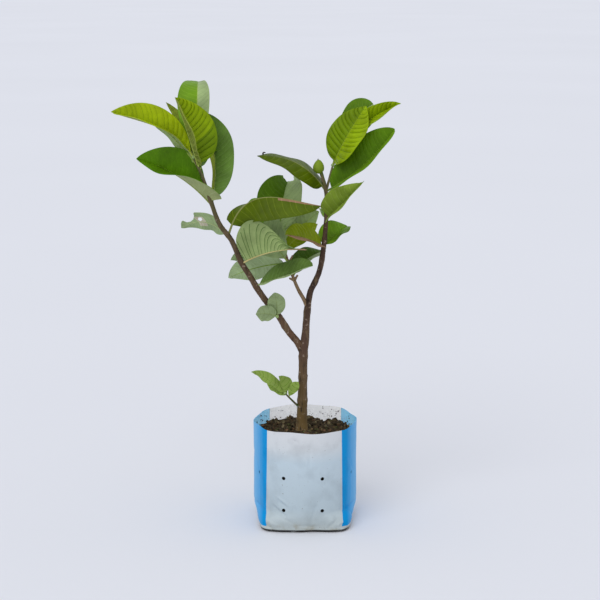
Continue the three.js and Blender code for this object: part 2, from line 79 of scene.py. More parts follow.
# ---------------------------------------------------------------- the shoots, in millimetres
# Each shoot is one smooth centre line from its root to its tip, with its radius at shares of
# that line, and the knots where leaves stand or stood.
SHOOTS = {
    "leader": dict(
        points=[(-4, 6, 113.3), (-4, 6, 127), (-3, 2, 171), (-2, 0, 218), (0, 0, 234),
                (1.5, 3, 255), (3.5, 6, 275), (7, 8, 293), (12, 10, 303), (18, 12, 318),
                (22, 14, 340), (24.5, 15, 362), (26, 16.5, 385), (25.5, 18, 415), (18, 18, 444)],
        radii=[(0, 8.2), (0.03, 6.9), (0.09, 6.3), (0.2, 5.4), (0.34, 5.5), (0.4, 4.5),
               (0.55, 3.6), (0.72, 3.1), (0.86, 2.4), (1, 2.2)],
        knots=[0.12, 0.21, 0.29, 0.46, 0.57, 0.66, 0.74, 0.83, 0.94]),
    "left": dict(
        points=[(-1.5, 0, 212), (-8, -1, 227), (-21, -3, 244), (-33, -6, 264), (-48, -9, 283),
                (-59, -12, 300), (-68, -14, 316), (-78, -16, 333), (-90, -18, 361),
                (-104, -20, 381), (-114, -22, 409), (-124, -22, 439), (-134, -22, 462)],
        radii=[(0, 4.6), (0.1, 4.3), (0.37, 3.7), (0.62, 3.1), (0.8, 2.6), (0.91, 2), (1, 1.3)],
        knots=[0.16, 0.26, 0.38, 0.51, 0.64, 0.8, 0.91]),
    "centre": dict(
        points=[(2, 5, 274), (-1, 7, 281), (-8, 9, 293), (-14, 14, 306), (-21, 22, 326),
                (-25, 26, 338), (-31, 31, 352)],
        radii=[(0, 2.6), (0.4, 2), (1, 1.3)],
        knots=[0.22, 0.4, 0.66, 0.84]),
    "basal": dict(
        points=[(-4, 3, 142), (-9, 0, 147), (-18, -8, 158), (-25, -10, 166)],
        radii=[(0, 1.5), (1, 1)],
        knots=[0.6]),
    "lowTwig": dict(
        points=[(-31, -6, 261), (-33.5, -10, 263), (-34.5, -14, 265)],
        radii=[(0, 1.6), (1, 1.2)],
        knots=[]),
    "crownTwig": dict(
        points=[(25, 18, 413), (29, 21, 428), (34, 24, 447)],
        radii=[(0, 1.8), (1, 1.2)],
        knots=[]),
}
ARC_DIVISIONS = 400
KNOT_SWELL = 0.11  # share of the radius
KNOT_SHARE = 0.012  # a knot's half length, as a share of its shoot

# Cut or fallen side twigs: shoot, share of it, azimuth and elevation in degrees, length, radius.
STUBS = [
    ("leader", 0.46, 190, 40, 4.5, 2.2),
    ("leader", 0.57, -20, 30, 5.0, 1.9),
    ("leader", 0.21, 20, 20, 6.5, 1.9),
    ("leader", 0.29, 200, 10, 6.2, 1.7),
    ("left", 0.38, 215, 25, 5.0, 1.8),
    ("left", 0.26, 60, 30, 4.6, 1.5),
    ("centre", 0.4, 20, 55, 8.0, 1.3),
    ("centre", 0.4, 190, 25, 7.0, 1.3),
    ("centre", 0.66, 15, 60, 11.0, 1.1),
]

# ---------------------------------------------------------------- the leaves, in millimetres
# at: share of the shoot where the leaf stands. reach: from there to its tip. faces: azimuth and
# elevation, in degrees, that its upper face looks to. arch and bow: how far the midrib bulges
# upwards and to its left. skew puts the bulge nearer the root. fold: how far the halves rise from
# flat, in degrees; fold_tip is the same at the tip, and ease above 1 brings it nearer the root.
# widest: share of the blade where it is widest. base and point are the powers of the outline's
# curve at root and tip. width, base and fold may be a pair, for the left half and the right. lobe:
# how far the left margin runs back past the stalk. bites are eaten away: (x, z, radius). tint is
# the leaf's set of colours, and patches are places in another tint: (half, from share, to share,
# from across, to across, tint). quilt: how high it bulges between its veins, and veins: how far
# apart they are, both as shares of the usual.
USUAL_LEAF = dict(widest=0.5, base=0.5, point=0.85, arch=0, bow=0, skew=0, ease=1, lobe=0,
                  veins=1, patches=(), bites=())
# The pale silvery patches on a half of a blade are a painted sheen, where that half catches the key
# light.
LEAVES = {
    "foliage_left_crown": ("left_crown", [
        dict(name="arched", on="left", at=0.99, reach=(-98, -9, 58), width=46, widest=0.56,
             base=0.9, faces=(-90, 45), arch=12.5, skew=0.6, fold=(60, 42), tint="lime",
             quilt=1.3),
        dict(name="quilted", on="left", at=0.945, reach=(-26, -22, 88), width=68, widest=0.42,
             faces=(-74, 12), arch=1, fold=(91, 12), tint="young", quilt=2.2,
             patches=[("left", 0, 1, 0, 1, "sheath"), ("right", 0, 0.34, 0, 1, "leafy")]),
        dict(name="spear", on="left", at=1, reach=(-34, 24, 64), width=14, faces=(-90, 20),
             bow=-10, fold=30, tint="sheath", quilt=0.5),
        dict(name="tall", on="left", at=0.96, reach=(-3, 88, 93), width=(48, 30), point=0.7,
             base=(1, 1.3), faces=(-78, 30), arch=38, skew=-0.4, fold=(-8, 20),
             fold_tip=(-5, 26), tint="fresh", quilt=0.4,
             patches=[("right", 0, 1, 0, 1, "silver")]),
        dict(name="shaded", on="left", at=0.79, reach=(-11, 56, 105), width=(34, 52),
             faces=(-100, 10), arch=2, bow=-8, fold=(97, 15), fold_tip=(80, 15), tint="dusky",
             quilt=0.5, patches=[("left", 0, 1, 0, 1, "sheath")]),
        dict(name="folded", on="left", at=0.78, reach=(-92, 12, 56), width=64,
             base=(0.2, 1.7), lobe=17, faces=(-90, 40), arch=9, fold=(140, 30),
             fold_tip=(45, 42), ease=2, tint="rich", quilt=0.35),
        dict(name="behind", on="left", at=0.96, reach=(-61, 30, 56), width=20, faces=(90, 40),
             arch=4, fold=15, tint="fresh", quilt=0.7),
        dict(name="rear", on="left", at=0.94, reach=(14, 80, 22), width=30, faces=(100, 60),
             arch=8, fold=15, tint="fresh", quilt=0.7),
    ]),
    "foliage_left_lower": ("left_lower", [
        dict(name="chewed", on="left", at=0.635, reach=(-60, 45, 2), width=34, faces=(90, 35),
             arch=12, fold=10, bites=((-151, 393, 16.5), (-129, 383, 2.6)),
             tint="silver", quilt=0.4, patches=[("both", 0.44, 0.62, 0, 0.5, "dry")]),
        dict(name="long", on="left", at=0.635, reach=(113, -31, 41), width=(32, 60),
             widest=0.44, base=(0.3, 0.5), faces=(-90, 70), arch=30, skew=0.5,
             fold=(80, -35), fold_tip=(-60, -35), ease=4, tint="moss", quilt=0.6, veins=1.5,
             patches=[("both", 0.6, 1, 0, 0.14, "rust")]),
        dict(name="ribbed", on="left", at=0.5, reach=(78, -40, 24), width=(36, 92),
             widest=0.33, point=4.6, faces=(90, 18), arch=6, fold=(72, 15), tint="ribbed",
             quilt=1.8, veins=0.66, patches=[("both", 0.72, 1, 0, 1, "rust")]),
        dict(name="fronting", on="left", at=0.385, reach=(70, -38, 32), width=42, point=0.6,
             faces=(-90, 50), fold=(12, 45), tint="shady", quilt=0.4,
             patches=[("right", 0, 1, 0.55, 1, "silver")]),
    ]),
    "foliage_centre": ("centre", [
        dict(name="under", on="centre", at=0.66, reach=(-76, 26, -24), width=40, faces=(90, 30),
             arch=4, fold=10, tint="mature", quilt=0.6),
        dict(name="small", on="centre", at=0.9, reach=(-66, 17, -20), width=24, faces=(90, 30),
             arch=4, fold=10, tint="mature", quilt=0.5),
        dict(name="notched", on="centre", at=1, reach=(11, 46, 73), width=66,
             base=(0.5, 1.2), faces=(-95, 40), arch=14, fold=(8, 35), fold_tip=(40, 50),
             bites=((-20.6, 428, 6.8),), tint="deep", quilt=0.4,
             patches=[("right", 0, 1, 0, 1, "silver")]),
        dict(name="bright", on="centre", at=0.66, reach=(-46, 23, 77), width=60, base=1,
             faces=(-90, 25), arch=4, bow=14, fold=(10, 62), tint="fresh", quilt=0.6,
             patches=[("both", 0, 0.25, 0, 1, "silver"), ("right", 0.25, 0.6, 0, 1, "silver")]),
        dict(name="pale", on="centre", at=0.84, reach=(43, 16, 47), width=38, base=0.3,
             faces=(100, 30), arch=4, fold=15, tint="fresh", quilt=0.6),
        dict(name="yellow", on="centre", at=0.84, reach=(41, -2, 34), width=22,
             faces=(-90, 20), arch=3, fold=15, tint="olive", quilt=0.6),
        dict(name="dark", on="centre", at=0.46, reach=(40, 46, 23), width=38, faces=(-105, 42),
             arch=7, fold=(10, 45), tint="deep", quilt=0.4,
             patches=[("right", 0, 1, 0, 1, "silver")]),
        dict(name="veiled", on="centre", at=1, reach=(2, 30, 48), width=44, widest=0.66,
             faces=(90, 30), arch=4, fold=10, tint="mature", quilt=0.6),
        dict(name="rear", on="centre", at=1, reach=(-6, 80, 20), width=36, faces=(90, 60),
             arch=12, fold=15, tint="fresh", quilt=0.7),
    ]),
    "foliage_right_lower": ("right_lower", [
        dict(name="rosy", on="leader", at=0.709, reach=(-47, -49, 23), width=(42, 37), base=0.25,
             faces=(-90, 55), arch=3, fold=(22, 38), tint="olive", quilt=0.8,
             patches=[("left", 0.1, 1, 0, 1, "rust")]),
        dict(name="round", on="leader", at=0.709, reach=(30, 31, 20), width=40, base=0.3,
             point=0.7, faces=(-90, 45), arch=3, fold=(15, 50), tint="fresh", quilt=0.4),
    ]),
    "foliage_right_crown": ("right_crown", [
        dict(name="front", on="leader", at=0.81, reach=(44, -56, 55), width=44, widest=0.36,
             base=0.35, point=1.4, faces=(-100, 30), arch=-1, fold=(45, 58), tint="light",
             quilt=0.6, veins=1.4, patches=[("both", 0.93, 1, 0, 1, "silver")]),
        dict(name="olive", on="leader", at=0.913, reach=(-84, -13, 45), width=(46, 56),
             widest=0.38, base=(0.7, 0.4), faces=(-90, 60), arch=14, fold=(3, -22),
             tint="moss", quilt=0.5, veins=1.5),
        dict(name="broad", on="leader", at=0.913, reach=(83, -13, 78), width=58, point=0.6,
             faces=(-110, 45), arch=-7, fold=(35, 48), tint="mature", quilt=0.5,
             patches=[("right", 0, 1, 0, 1, "fresh")]),
        dict(name="sunny", on="crownTwig", at=1, reach=(40, -4, 73), width=50,
             widest=0.43, faces=(-110, 25), arch=2, bow=-9, fold=(10, 48), fold_tip=(10, 5),
             tint="leafy", quilt=2.2, patches=[("right", 0, 1, 0, 1, "young")]),
        dict(name="outer", on="crownTwig", at=1, reach=(83, 6, 75), width=(30, 44), widest=0.6,
             base=0.9, faces=(-100, 45), arch=12, fold=(68, 46), tint="young", quilt=1.0),
        # The backing leaf's right half below its tip is in a darker tint: a painted shadow.
        dict(name="backing", on="crownTwig", at=1, reach=(51, 50, 71), width=44, widest=0.62,
             faces=(-90, 40), arch=12, fold=(60, 8), tint="fresh", quilt=0.4,
             patches=[("right", 0.7, 1, 0, 1, "silver"), ("right", 0, 0.7, 0, 1, "mature")]),
        dict(name="rear", on="leader", at=0.81, reach=(2, 80, -14), width=20, faces=(80, 60),
             arch=12, fold=15, tint="fresh", quilt=0.7),
    ]),
    "leaf_pair_low": ("low_pair", [
        dict(name="upright", on="lowTwig", at=1, reach=(-3, -6, 31), width=22, faces=(90, 10),
             arch=2, fold=10, tint="dusky", quilt=0.3),
        dict(name="sideways", on="lowTwig", at=1, reach=(-26, -6, 4), width=24, faces=(90, 20),
             arch=2, fold=10, tint="dusky", quilt=0.3),
    ]),
    "basal_shoot": ("basal", [
        dict(name="lance", on="basal", at=0.97, reach=(-42, -15, 32), width=16, faces=(-90, 50),
             arch=4, fold=20, tint="tender", quilt=0.4),
        dict(name="hidden", on="basal", at=0.86, reach=(-26, 14, 13), width=15, faces=(-90, 40),
             arch=2, fold=10, tint="tender", quilt=0.4),
        dict(name="lobe", on="basal", at=0.98, reach=(-8, -10, 25), width=(5, 25), widest=0.4,
             faces=(-80, 15), arch=1, fold=(10, 5), tint="tender", quilt=0.3),
        dict(name="wing", on="basal", at=0.8, reach=(12, -6, 21), width=12, widest=0.6,
             faces=(-80, 20), arch=1, fold=10, tint="tender", quilt=0.3),
    ]),
}
PETIOLE = 0.07  # share of the midrib before the blade begins
LEAF_CUP = 0.1  # how far a margin curls down, as a share of the half width
LEAF_WAVE = 1.1 * MM
LEAF_WAVES = 14  # radians along a blade
WAVE_HALF = 4 * MM  # half width from about which a margin is wavy
LOBE_START = 0.08
LOBE_END = 0.4
SEED = 11

# Plain colours of each tint, as displayed, one for each part of a leaf.
TINT_PARTS = ("blade", "vein", "midrib", "under", "under_vein")
# Where a vein is darker than its blade, as on the bright tints and the ribbed underside, the dark is
# painted shade in the sunken creases along the veins.
TINTS = {
    "young": ((140, 166, 8), (84, 112, 6), (168, 184, 90), (138, 152, 66), (100, 120, 40)),
    "lime": ((156, 176, 12), (120, 144, 10), (172, 182, 78), (150, 162, 84), (120, 136, 52)),
    "leafy": ((112, 140, 8), (60, 88, 4), (146, 162, 58), (146, 160, 78), (112, 130, 48)),
    "light": ((134, 158, 56), (158, 178, 88), (160, 178, 92), (150, 170, 112), (160, 178, 126)),
    "fresh": ((104, 144, 26), (124, 158, 42), (150, 170, 80), (150, 172, 108), (160, 180, 124)),
    "mature": ((86, 124, 8), (100, 136, 22), (124, 150, 62), (156, 176, 128), (144, 164, 112)),
    "deep": ((74, 106, 14), (88, 120, 32), (124, 150, 62), (156, 176, 128), (144, 164, 112)),
    "rich": ((86, 130, 8), (96, 138, 18), (140, 152, 78), (148, 158, 106), (156, 166, 116)),
    "dusky": ((98, 130, 54), (114, 144, 72), (136, 152, 96), (148, 166, 118), (136, 152, 102)),
    "shady": ((86, 112, 48), (102, 128, 66), (136, 152, 96), (148, 166, 118), (136, 152, 102)),
    "olive": ((124, 142, 16), (142, 154, 42), (148, 154, 68), (136, 150, 82), (122, 136, 64)),
    "moss": ((78, 96, 2), (106, 122, 26), (132, 136, 76), (130, 146, 84), (144, 158, 98)),
    "ribbed": ((70, 108, 20), (98, 134, 48), (184, 172, 116), (142, 160, 102), (88, 112, 58)),
    # The next tint is a pale leaf's own colour and, on the halves where it is a patch, a painted
    # sheen.
    "silver": ((152, 172, 116), (128, 150, 98), (168, 182, 128), (150, 170, 120), (136, 156, 104)),
    "sheath": ((140, 154, 56), (102, 120, 34), (158, 162, 88), (136, 148, 66), (104, 120, 42)),
    "rust": ((150, 116, 88), (166, 134, 98), (172, 148, 106), (156, 128, 100), (170, 144, 112)),
    "dry": ((188, 180, 150), (164, 148, 118), (180, 170, 130), (192, 186, 160), (170, 158, 128)),
    "bud": ((118, 140, 38), (34, 26, 18), (140, 160, 70), (140, 160, 80), (60, 48, 30)),
    "tender": ((138, 162, 76), (96, 134, 28), (150, 172, 88), (140, 164, 90), (120, 148, 68)),
}


# ---------------------------------------------------------------- settings a user may change
def length_setting(name, description, default, least, most):
    """A length given in millimetres."""
    return bpy.props.FloatProperty(name=name, description=description, default=default * MM,
                                   min=least * MM, max=most * MM, unit="LENGTH")


def colour_setting(name, description, default):
    return bpy.props.FloatVectorProperty(name=name, description=description, default=default,
                                         min=0, max=1, subtype="COLOR")


class GuavaLeafSettings(bpy.types.PropertyGroup):
    """How the leaves are made."""

    thickness: length_setting("Leaf thickness", "Thickness of a blade", 0.45, 0.1, 2)
    quilting: length_setting(
        "Quilting", "How high a blade bulges between its veins", 0.75, 0, 3)
    vein_spacing: length_setting(
        "Vein spacing", "Distance between side veins along the midrib", 6.6, 2, 20)
    vein_width: length_setting("Vein width", "Width of a side vein", 0.55, 0.1, 2)
    roughness: bpy.props.FloatProperty(
        name="Leaf roughness", description="Roughness of the upper face",
        default=0.42, min=0, max=1, subtype="FACTOR")


class GuavaBarkSettings(bpy.types.PropertyGroup):
    """How the bark is made."""

    relief: length_setting("Bark relief", "Depth of the bark's ridges and cracks", 0.42, 0, 2)
    base_colour: colour_setting("Old bark", "Bark near the soil", (0.145, 0.092, 0.03))
    upper_colour: colour_setting("Upper bark", "Bark of the boughs", (0.088, 0.048, 0.030))


class GuavaBagSettings(bpy.types.PropertyGroup):
    """How the grow bag is made."""

    film: length_setting("Film thickness", "Thickness of the bag's film", 0.4, 0.1, 0.8)
    wrinkle: length_setting("Wrinkle depth", "Depth of the film's soft dents", 0.55, 0, 3)
    white: colour_setting("White film", "Colour of the white film", (0.66, 0.70, 0.73))
    blue: colour_setting("Blue film", "Colour of the side panels", (0.001, 0.285, 0.66))


class GuavaSoilSettings(bpy.types.PropertyGroup):
    """How the soil is made."""

    crumbs: bpy.props.IntProperty(
        name="Crumbs", description="Number of loose crumbs on the soil", default=850, min=0,
        max=1800)
    crumb_size: length_setting("Crumb size", "Radius of the largest crumbs", 3.2, 0.5, 6)
    colour: colour_setting("Soil", "Colour of the moist soil", (0.042, 0.029, 0.014))


class GuavaStageSettings(bpy.types.PropertyGroup):
    """The floor and the light."""

    floor_colour: colour_setting("Floor", "Colour of the floor", (0.79, 0.80, 0.835))
    sky: bpy.props.FloatProperty(
        name="Soft light", description="Strength of the light from all round",
        default=0.80, min=0, max=5)
    key: bpy.props.FloatProperty(
        name="Key light", description="Strength of the light from the upper left",
        default=0.85, min=0, max=20)


# ---------------------------------------------------------------- mesh helpers
# How an upright rod is turned to lie along either axis.
FRONT_TO_BACK = (math.pi / 2, 0, 0)
SIDE_TO_SIDE = (0, math.pi / 2, 0)


def deselect():
    bpy.ops.object.select_all(action="DESELECT")


def pick(obj):
    """Selects only this object and makes it active."""
    deselect()
    obj.select_set(True)
    bpy.context.view_layer.objects.active = obj


def in_edit_mode(obj, *steps):
    """Runs mesh operators on all of an object's mesh. Each step is an operator and its settings."""
    pick(obj)
    bpy.ops.object.mode_set(mode="EDIT")
    bpy.ops.mesh.select_all(action="SELECT")
    for operator, settings in steps:
        operator(**settings)
    bpy.ops.object.mode_set(mode="OBJECT")


def apply_modifier(obj, kind, **settings):
    pick(obj)
    bpy.ops.object.modifier_add(type=kind)
    modifier = obj.modifiers[-1]
    for name, value in settings.items():
        setattr(modifier, name, value)
    bpy.ops.object.modifier_apply(modifier=modifier.name)


def shaped_grid(name, columns, rows, place, materials=(), paint=None):
    """A flat grid whose vertices are put where place(column, row) says, all at once.

    paint(column, row) gives each face's material slot.
    """
    deselect()
    bpy.ops.mesh.primitive_grid_add(x_subdivisions=columns, y_subdivisions=rows, size=1)
    obj = bpy.context.object
    obj.name = name
    mesh = obj.data
    if len(mesh.vertices) != (columns + 1) * (rows + 1):
        raise RuntimeError(f"{name}: the grid has {len(mesh.vertices)} vertices")
    flat = np.empty(3 * len(mesh.vertices))
    mesh.vertices.foreach_get("co", flat)
    flat = flat.reshape(-1, 3)
    column = np.rint((flat[:, 0] + 0.5) * columns).astype(int)
    row = np.rint((flat[:, 1] + 0.5) * rows).astype(int)
    mesh.vertices.foreach_set("co", np.asarray(place(column, row), float).ravel())
    for material in materials:
        mesh.materials.append(material)
    if paint is not None:
        corners = np.empty(4 * len(mesh.polygons), int)
        mesh.polygons.foreach_get("vertices", corners)
        corners = corners.reshape(-1, 4)
        slots = paint(column[corners].min(axis=1), row[corners].min(axis=1))
        mesh.polygons.foreach_set("material_index", np.asarray(slots, int))
    mesh.update()
    return obj


def weld(obj, distance=0.002 * MM):
    """Closes seams and poles, and turns all faces outwards."""
    in_edit_mode(
        obj,
        (bpy.ops.mesh.remove_doubles, {"threshold": distance}),
        (bpy.ops.mesh.normals_make_consistent, {"inside": False}),
    )


def smooth(obj, angle=None):
    """Shades smoothly all over, or only where faces meet at less than an angle in degrees."""
    pick(obj)
    if angle is None:
        bpy.ops.object.shade_smooth()
    else:
        bpy.ops.object.shade_smooth_by_angle(angle=math.radians(angle))


def add_rod(sides, radius, length, location, rotation):
    deselect()
    bpy.ops.mesh.primitive_cylinder_add(
        vertices=sides, radius=radius, depth=length, location=location, rotation=rotation)
    return bpy.context.object


def cut_away(piece, cutter):
    apply_modifier(piece, "BOOLEAN", object=cutter, operation="DIFFERENCE", solver="EXACT")
    bpy.data.objects.remove(cutter)


def join(objects, name):
    pick(objects[0])
    for obj in objects[1:]:
        obj.select_set(True)
    if len(objects) > 1:
        bpy.ops.object.join()
    objects[0].name = name
    objects[0].data.name = name
    return objects[0]


def finish_piece(obj, slot, *nodes):
    """The piece rides on the body and stands for its nodes. The slot is not used."""
    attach(obj, BODY)
    if nodes:
        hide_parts(*nodes)
    deselect()


def smoothstep(value, low, high):
    share = np.clip((value - low) / (high - low), 0, 1)
    return share * share * (3 - 2 * share)


def unit(vectors):
    return vectors / np.linalg.norm(vectors, axis=-1, keepdims=True)


def square_to(direction, axis):
    """The part of a direction that is square to an axis, as unit vectors."""
    dot = np.sum(direction * axis, axis=-1, keepdims=True)
    return unit(direction - dot * axis)


def sides_of(along, near=(0.0, 1.0, 0.0)):
    """Two directions square to a line's own at each of its points, the first towards near."""
    across = square_to(np.array([near]), along)
    return across, np.cross(along, across)


def towards(azimuth, elevation):
    """The unit vector that looks to an azimuth and elevation in degrees."""
    turn, rise = math.radians(azimuth), math.radians(elevation)
    return np.array([math.cos(rise) * math.cos(turn), math.cos(rise) * math.sin(turn),
                     math.sin(rise)])


def seeded_random(seed):
    """The part's own draw of numbers from 0 to 1."""
    state = seed
    while True:
        state = (state * 1103515245 + 12345) & 0xFFFFFFFF
        yield state / 4294967296


# ---------------------------------------------------------------- materials
UNDER_ROUGHNESS = 0.65  # of a leaf's underside
BARK_TOP = 480 * MM
ALONG_LIMB = (1, 1, 0.22)
BARK_CRACK = (0.012, 0.008, 0.006)
BARK_STREAK = (0.15, 0.10, 0.052)
BARK_FLAKE = (0.33, 0.25, 0.19)


def linear(colour):
    """A displayed colour from 0 to 255 as the linear one that a shader takes."""
    shares = [part / 255 for part in colour]
    return [s / 12.92 if s <= 0.04045 else ((s + 0.055) / 1.055) ** 2.4 for s in shares]


def shade_of(colour, factor):
    return [min(1.0, part * factor) for part in colour]


def shades(colour, *stops):
    """A ramp's stops from one colour: each is a place and the factor for the colour there."""
    return [(place, shade_of(colour, factor)) for place, factor in stops]


class Surface:
    """A node material on Object coordinates, with helpers for its patterns."""

    def __init__(self, name, roughness, specular):
        self.material = bpy.data.materials.new(name)
        self.material.use_nodes = True
        self.nodes = self.material.node_tree.nodes
        self.links = self.material.node_tree.links
        self.shader = self.nodes["Principled BSDF"]
        self.shader.inputs["Roughness"].default_value = roughness
        self.shader.inputs["Specular IOR Level"].default_value = specular
        self.place = self.nodes.new("ShaderNodeTexCoord").outputs["Object"]

    def stretched(self, scale):
        """The place with each axis scaled, which draws a pattern out where the scale is small."""
        mapping = self.nodes.new("ShaderNodeMapping")
        mapping.inputs["Scale"].default_value = scale
        self.links.new(self.place, mapping.inputs["Vector"])
        return mapping.outputs["Vector"]

    def noise(self, scale, detail=3, roughness=0.55, vector=None):
        """Soft patches from 0 to 1, about as many to a metre as the scale says."""
        node = self.nodes.new("ShaderNodeTexNoise")
        node.inputs["Scale"].default_value = scale
        node.inputs["Detail"].default_value = detail
        node.inputs["Roughness"].default_value = roughness
        self.links.new(vector or self.place, node.inputs["Vector"])
        return node.outputs["Fac"]

    def along_axis(self, axis):
        parts = self.nodes.new("ShaderNodeSeparateXYZ")
        self.links.new(self.place, parts.inputs["Vector"])
        return parts.outputs[axis]

    def height(self, low, high):
        """From 0 at one height to 1 at another."""
        return self.between(self.along_axis("Z"), low, high)

    def aside(self, low, high):
        """From 0 at one distance to the left or right of the middle to 1 at another."""
        return self.between(self.calculate("ABSOLUTE", self.along_axis("X"), 0), low, high)

    def between(self, value, low, high):
        """From 0 where the value is low to 1 where it is high, which may be the smaller one."""
        node = self.nodes.new("ShaderNodeMapRange")
        node.inputs["From Min"].default_value = low
        node.inputs["From Max"].default_value = high
        self.links.new(value, node.inputs["Value"])
        return node.outputs["Result"]

    def calculate(self, operation, first, second):
        node = self.nodes.new("ShaderNodeMath")
        node.operation = operation
        for socket, value in zip(node.inputs, (first, second)):
            if isinstance(value, (int, float)):
                socket.default_value = value
            else:
                self.links.new(value, socket)
        return node.outputs["Value"]

    def ramp(self, value, stops):
        """A colour that runs through the stops, each a place from 0 to 1 and its colour."""
        node = self.nodes.new("ShaderNodeValToRGB")
        elements = node.color_ramp.elements
        while len(elements) < len(stops):
            elements.new(1.0)
        for element, (position, colour) in zip(elements, stops):
            element.position = position
            element.color = (*colour, 1)
        self.links.new(value, node.inputs["Fac"])
        return node.outputs["Color"]

    def mix(self, factor, first, second):
        """The first colour where the factor is 0, and the second where it is 1."""
        node = self.nodes.new("ShaderNodeMix")
        node.data_type = "RGBA"
        self.links.new(factor, node.inputs["Factor"])
        colour_inputs, colour_output = node.inputs[6:8], node.outputs[2]
        for socket, value in zip(colour_inputs, (first, second)):
            if isinstance(value, bpy.types.NodeSocket):
                self.links.new(value, socket)
            else:
                socket.default_value = (*value, 1)
        return colour_output

    def colour(self, value):
        self.links.new(value, self.shader.inputs["Base Color"])

    def roughness(self, value):
        self.links.new(value, self.shader.inputs["Roughness"])

    def bump(self, value, distance, strength):
        node = self.nodes.new("ShaderNodeBump")
        node.inputs["Strength"].default_value = strength
        node.inputs["Distance"].default_value = distance
        self.links.new(value, node.inputs["Height"])
        self.links.new(node.outputs["Normal"], self.shader.inputs["Normal"])


def leaf_material(tint, part, roughness):
    """One plain colour with a soft mottle, and the fine net of a leaf's skin."""
    name = f"leaf_{tint}_{part}"
    if name in bpy.data.materials:
        return bpy.data.materials[name]
    colour = linear(TINTS[tint][TINT_PARTS.index(part)])
    if part.startswith("under"):
        surface, net = Surface(name, UNDER_ROUGHNESS, specular=0.07), 0.5
    else:
        surface, net = Surface(name, roughness, specular=0.09), 0.35
    mottle = surface.noise(38, detail=5, roughness=0.6)
    surface.colour(surface.ramp(mottle, shades(colour, (0.3, 0.74), (0.5, 1), (0.72, 1.26))))
    surface.bump(surface.noise(900), distance=0.12 * MM, strength=net)
    return surface.material


def bark_material(name, stops):
    """Bark that changes with height, with cracks, pale flakes and fine grain along the limb."""
    surface = Surface(name, roughness=0.78, specular=0.3)
    along = surface.stretched(ALONG_LIMB)
    bark = surface.ramp(surface.height(SOIL_TOP, BARK_TOP), stops)
    cracks = surface.noise(240, detail=5, roughness=0.62, vector=along)
    streaks = surface.noise(210, detail=4, roughness=0.6, vector=along)
    flakes = surface.noise(230, detail=4, roughness=0.6)
    grain = surface.noise(700, detail=5, roughness=0.65, vector=along)
    bark = surface.mix(surface.between(cracks, 0.55, 0.72), bark, BARK_CRACK)
    bark = surface.mix(surface.between(streaks, 0.5, 0.3), bark, BARK_STREAK)
    bark = surface.mix(surface.between(flakes, 0.61, 0.70), bark, BARK_FLAKE)
    surface.colour(bark)
    surface.bump(grain, distance=0.35 * MM, strength=0.8)
    return surface.material


# ---------------------------------------------------------------- the shoots' lines
class ShootLine:
    """The centripetal curve through a shoot's points, measured along its length."""

    def __init__(self, shoot):
        points = np.array(shoot["points"], float) * MM
        first, last = 2 * points[0] - points[1], 2 * points[-1] - points[-2]
        self.points = np.vstack([first, points, last])
        self.places = np.linspace(0, 1, ARC_DIVISIONS + 1)
        steps = np.linalg.norm(np.diff(self.curve(self.places), axis=0), axis=1)
        self.lengths = np.concatenate([[0], np.cumsum(steps)])
        self.length = self.lengths[-1]

    def curve(self, place):
        place = np.atleast_1d(place)
        spans = len(self.points) - 3
        span = np.minimum((place * spans).astype(int), spans - 1)
        weight = (place * spans - span)[:, None]
        p0, p1, p2, p3 = (self.points[span + k] for k in range(4))
        d0, d1, d2 = (np.sum((b - a) ** 2, axis=1, keepdims=True) ** 0.25
                      for a, b in ((p0, p1), (p1, p2), (p2, p3)))
        t1 = ((p1 - p0) / d0 - (p2 - p0) / (d0 + d1) + (p2 - p1) / d1) * d1
        t2 = ((p2 - p1) / d1 - (p3 - p1) / (d1 + d2) + (p3 - p2) / d2) * d1
        return (p1 + t1 * weight + (3 * (p2 - p1) - 2 * t1 - t2) * weight ** 2
                + (2 * (p1 - p2) + t1 + t2) * weight ** 3)

    def at(self, share):
        """The points at shares of the line's length."""
        place = np.interp(np.atleast_1d(share) * self.length, self.lengths, self.places)
        return self.curve(place)

    def along(self, share):
        """The line's direction at shares of its length."""
        step = 1e-4
        low = np.clip(np.atleast_1d(share) - step, 0, 1)
        high = np.clip(np.atleast_1d(share) + step, 0, 1)
        return unit(self.at(high) - self.at(low))


LINES = {name: ShootLine(shoot) for name, shoot in SHOOTS.items()}


def limb_radius(name, share):
    """A shoot's radius at shares of its length, swollen at its knots."""
    shoot = SHOOTS[name]
    places, radii = zip(*shoot["radii"])
    knots = sum(KNOT_SWELL * np.exp(-(((share - knot) / KNOT_SHARE) ** 2))
                for knot in shoot["knots"])
    return np.interp(share, places, radii) * MM * (1 + knots)


def tube(name, centres, across, upward, radius, sides, materials):
    """A smooth closed tube along a line of centres, on two directions square to it at each.

    radius is one value for each centre, or a table with a column for each side.
    """
    rows = len(centres) + 1  # a pole row at each end
    centres = np.vstack([centres[:1], centres, centres[-1:]])
    across = np.vstack([across[:1], across, across[-1:]])
    upward = np.vstack([upward[:1], upward, upward[-1:]])
    radius = np.asarray(radius, float)
    if radius.ndim == 1:
        radius = np.repeat(radius[:, None], sides, axis=1)
    none = np.zeros((1, sides))
    radius = np.vstack([none, radius, none])

    def place(column, row):
        turn = 2 * math.pi * column / sides
        reach = radius[row, column % sides][:, None]
        return centres[row] + reach * (np.cos(turn)[:, None] * across[row]
                                       + np.sin(turn)[:, None] * upward[row])

    obj = shaped_grid(name, sides, rows, place, materials)
    weld(obj)
    smooth(obj)
    return obj


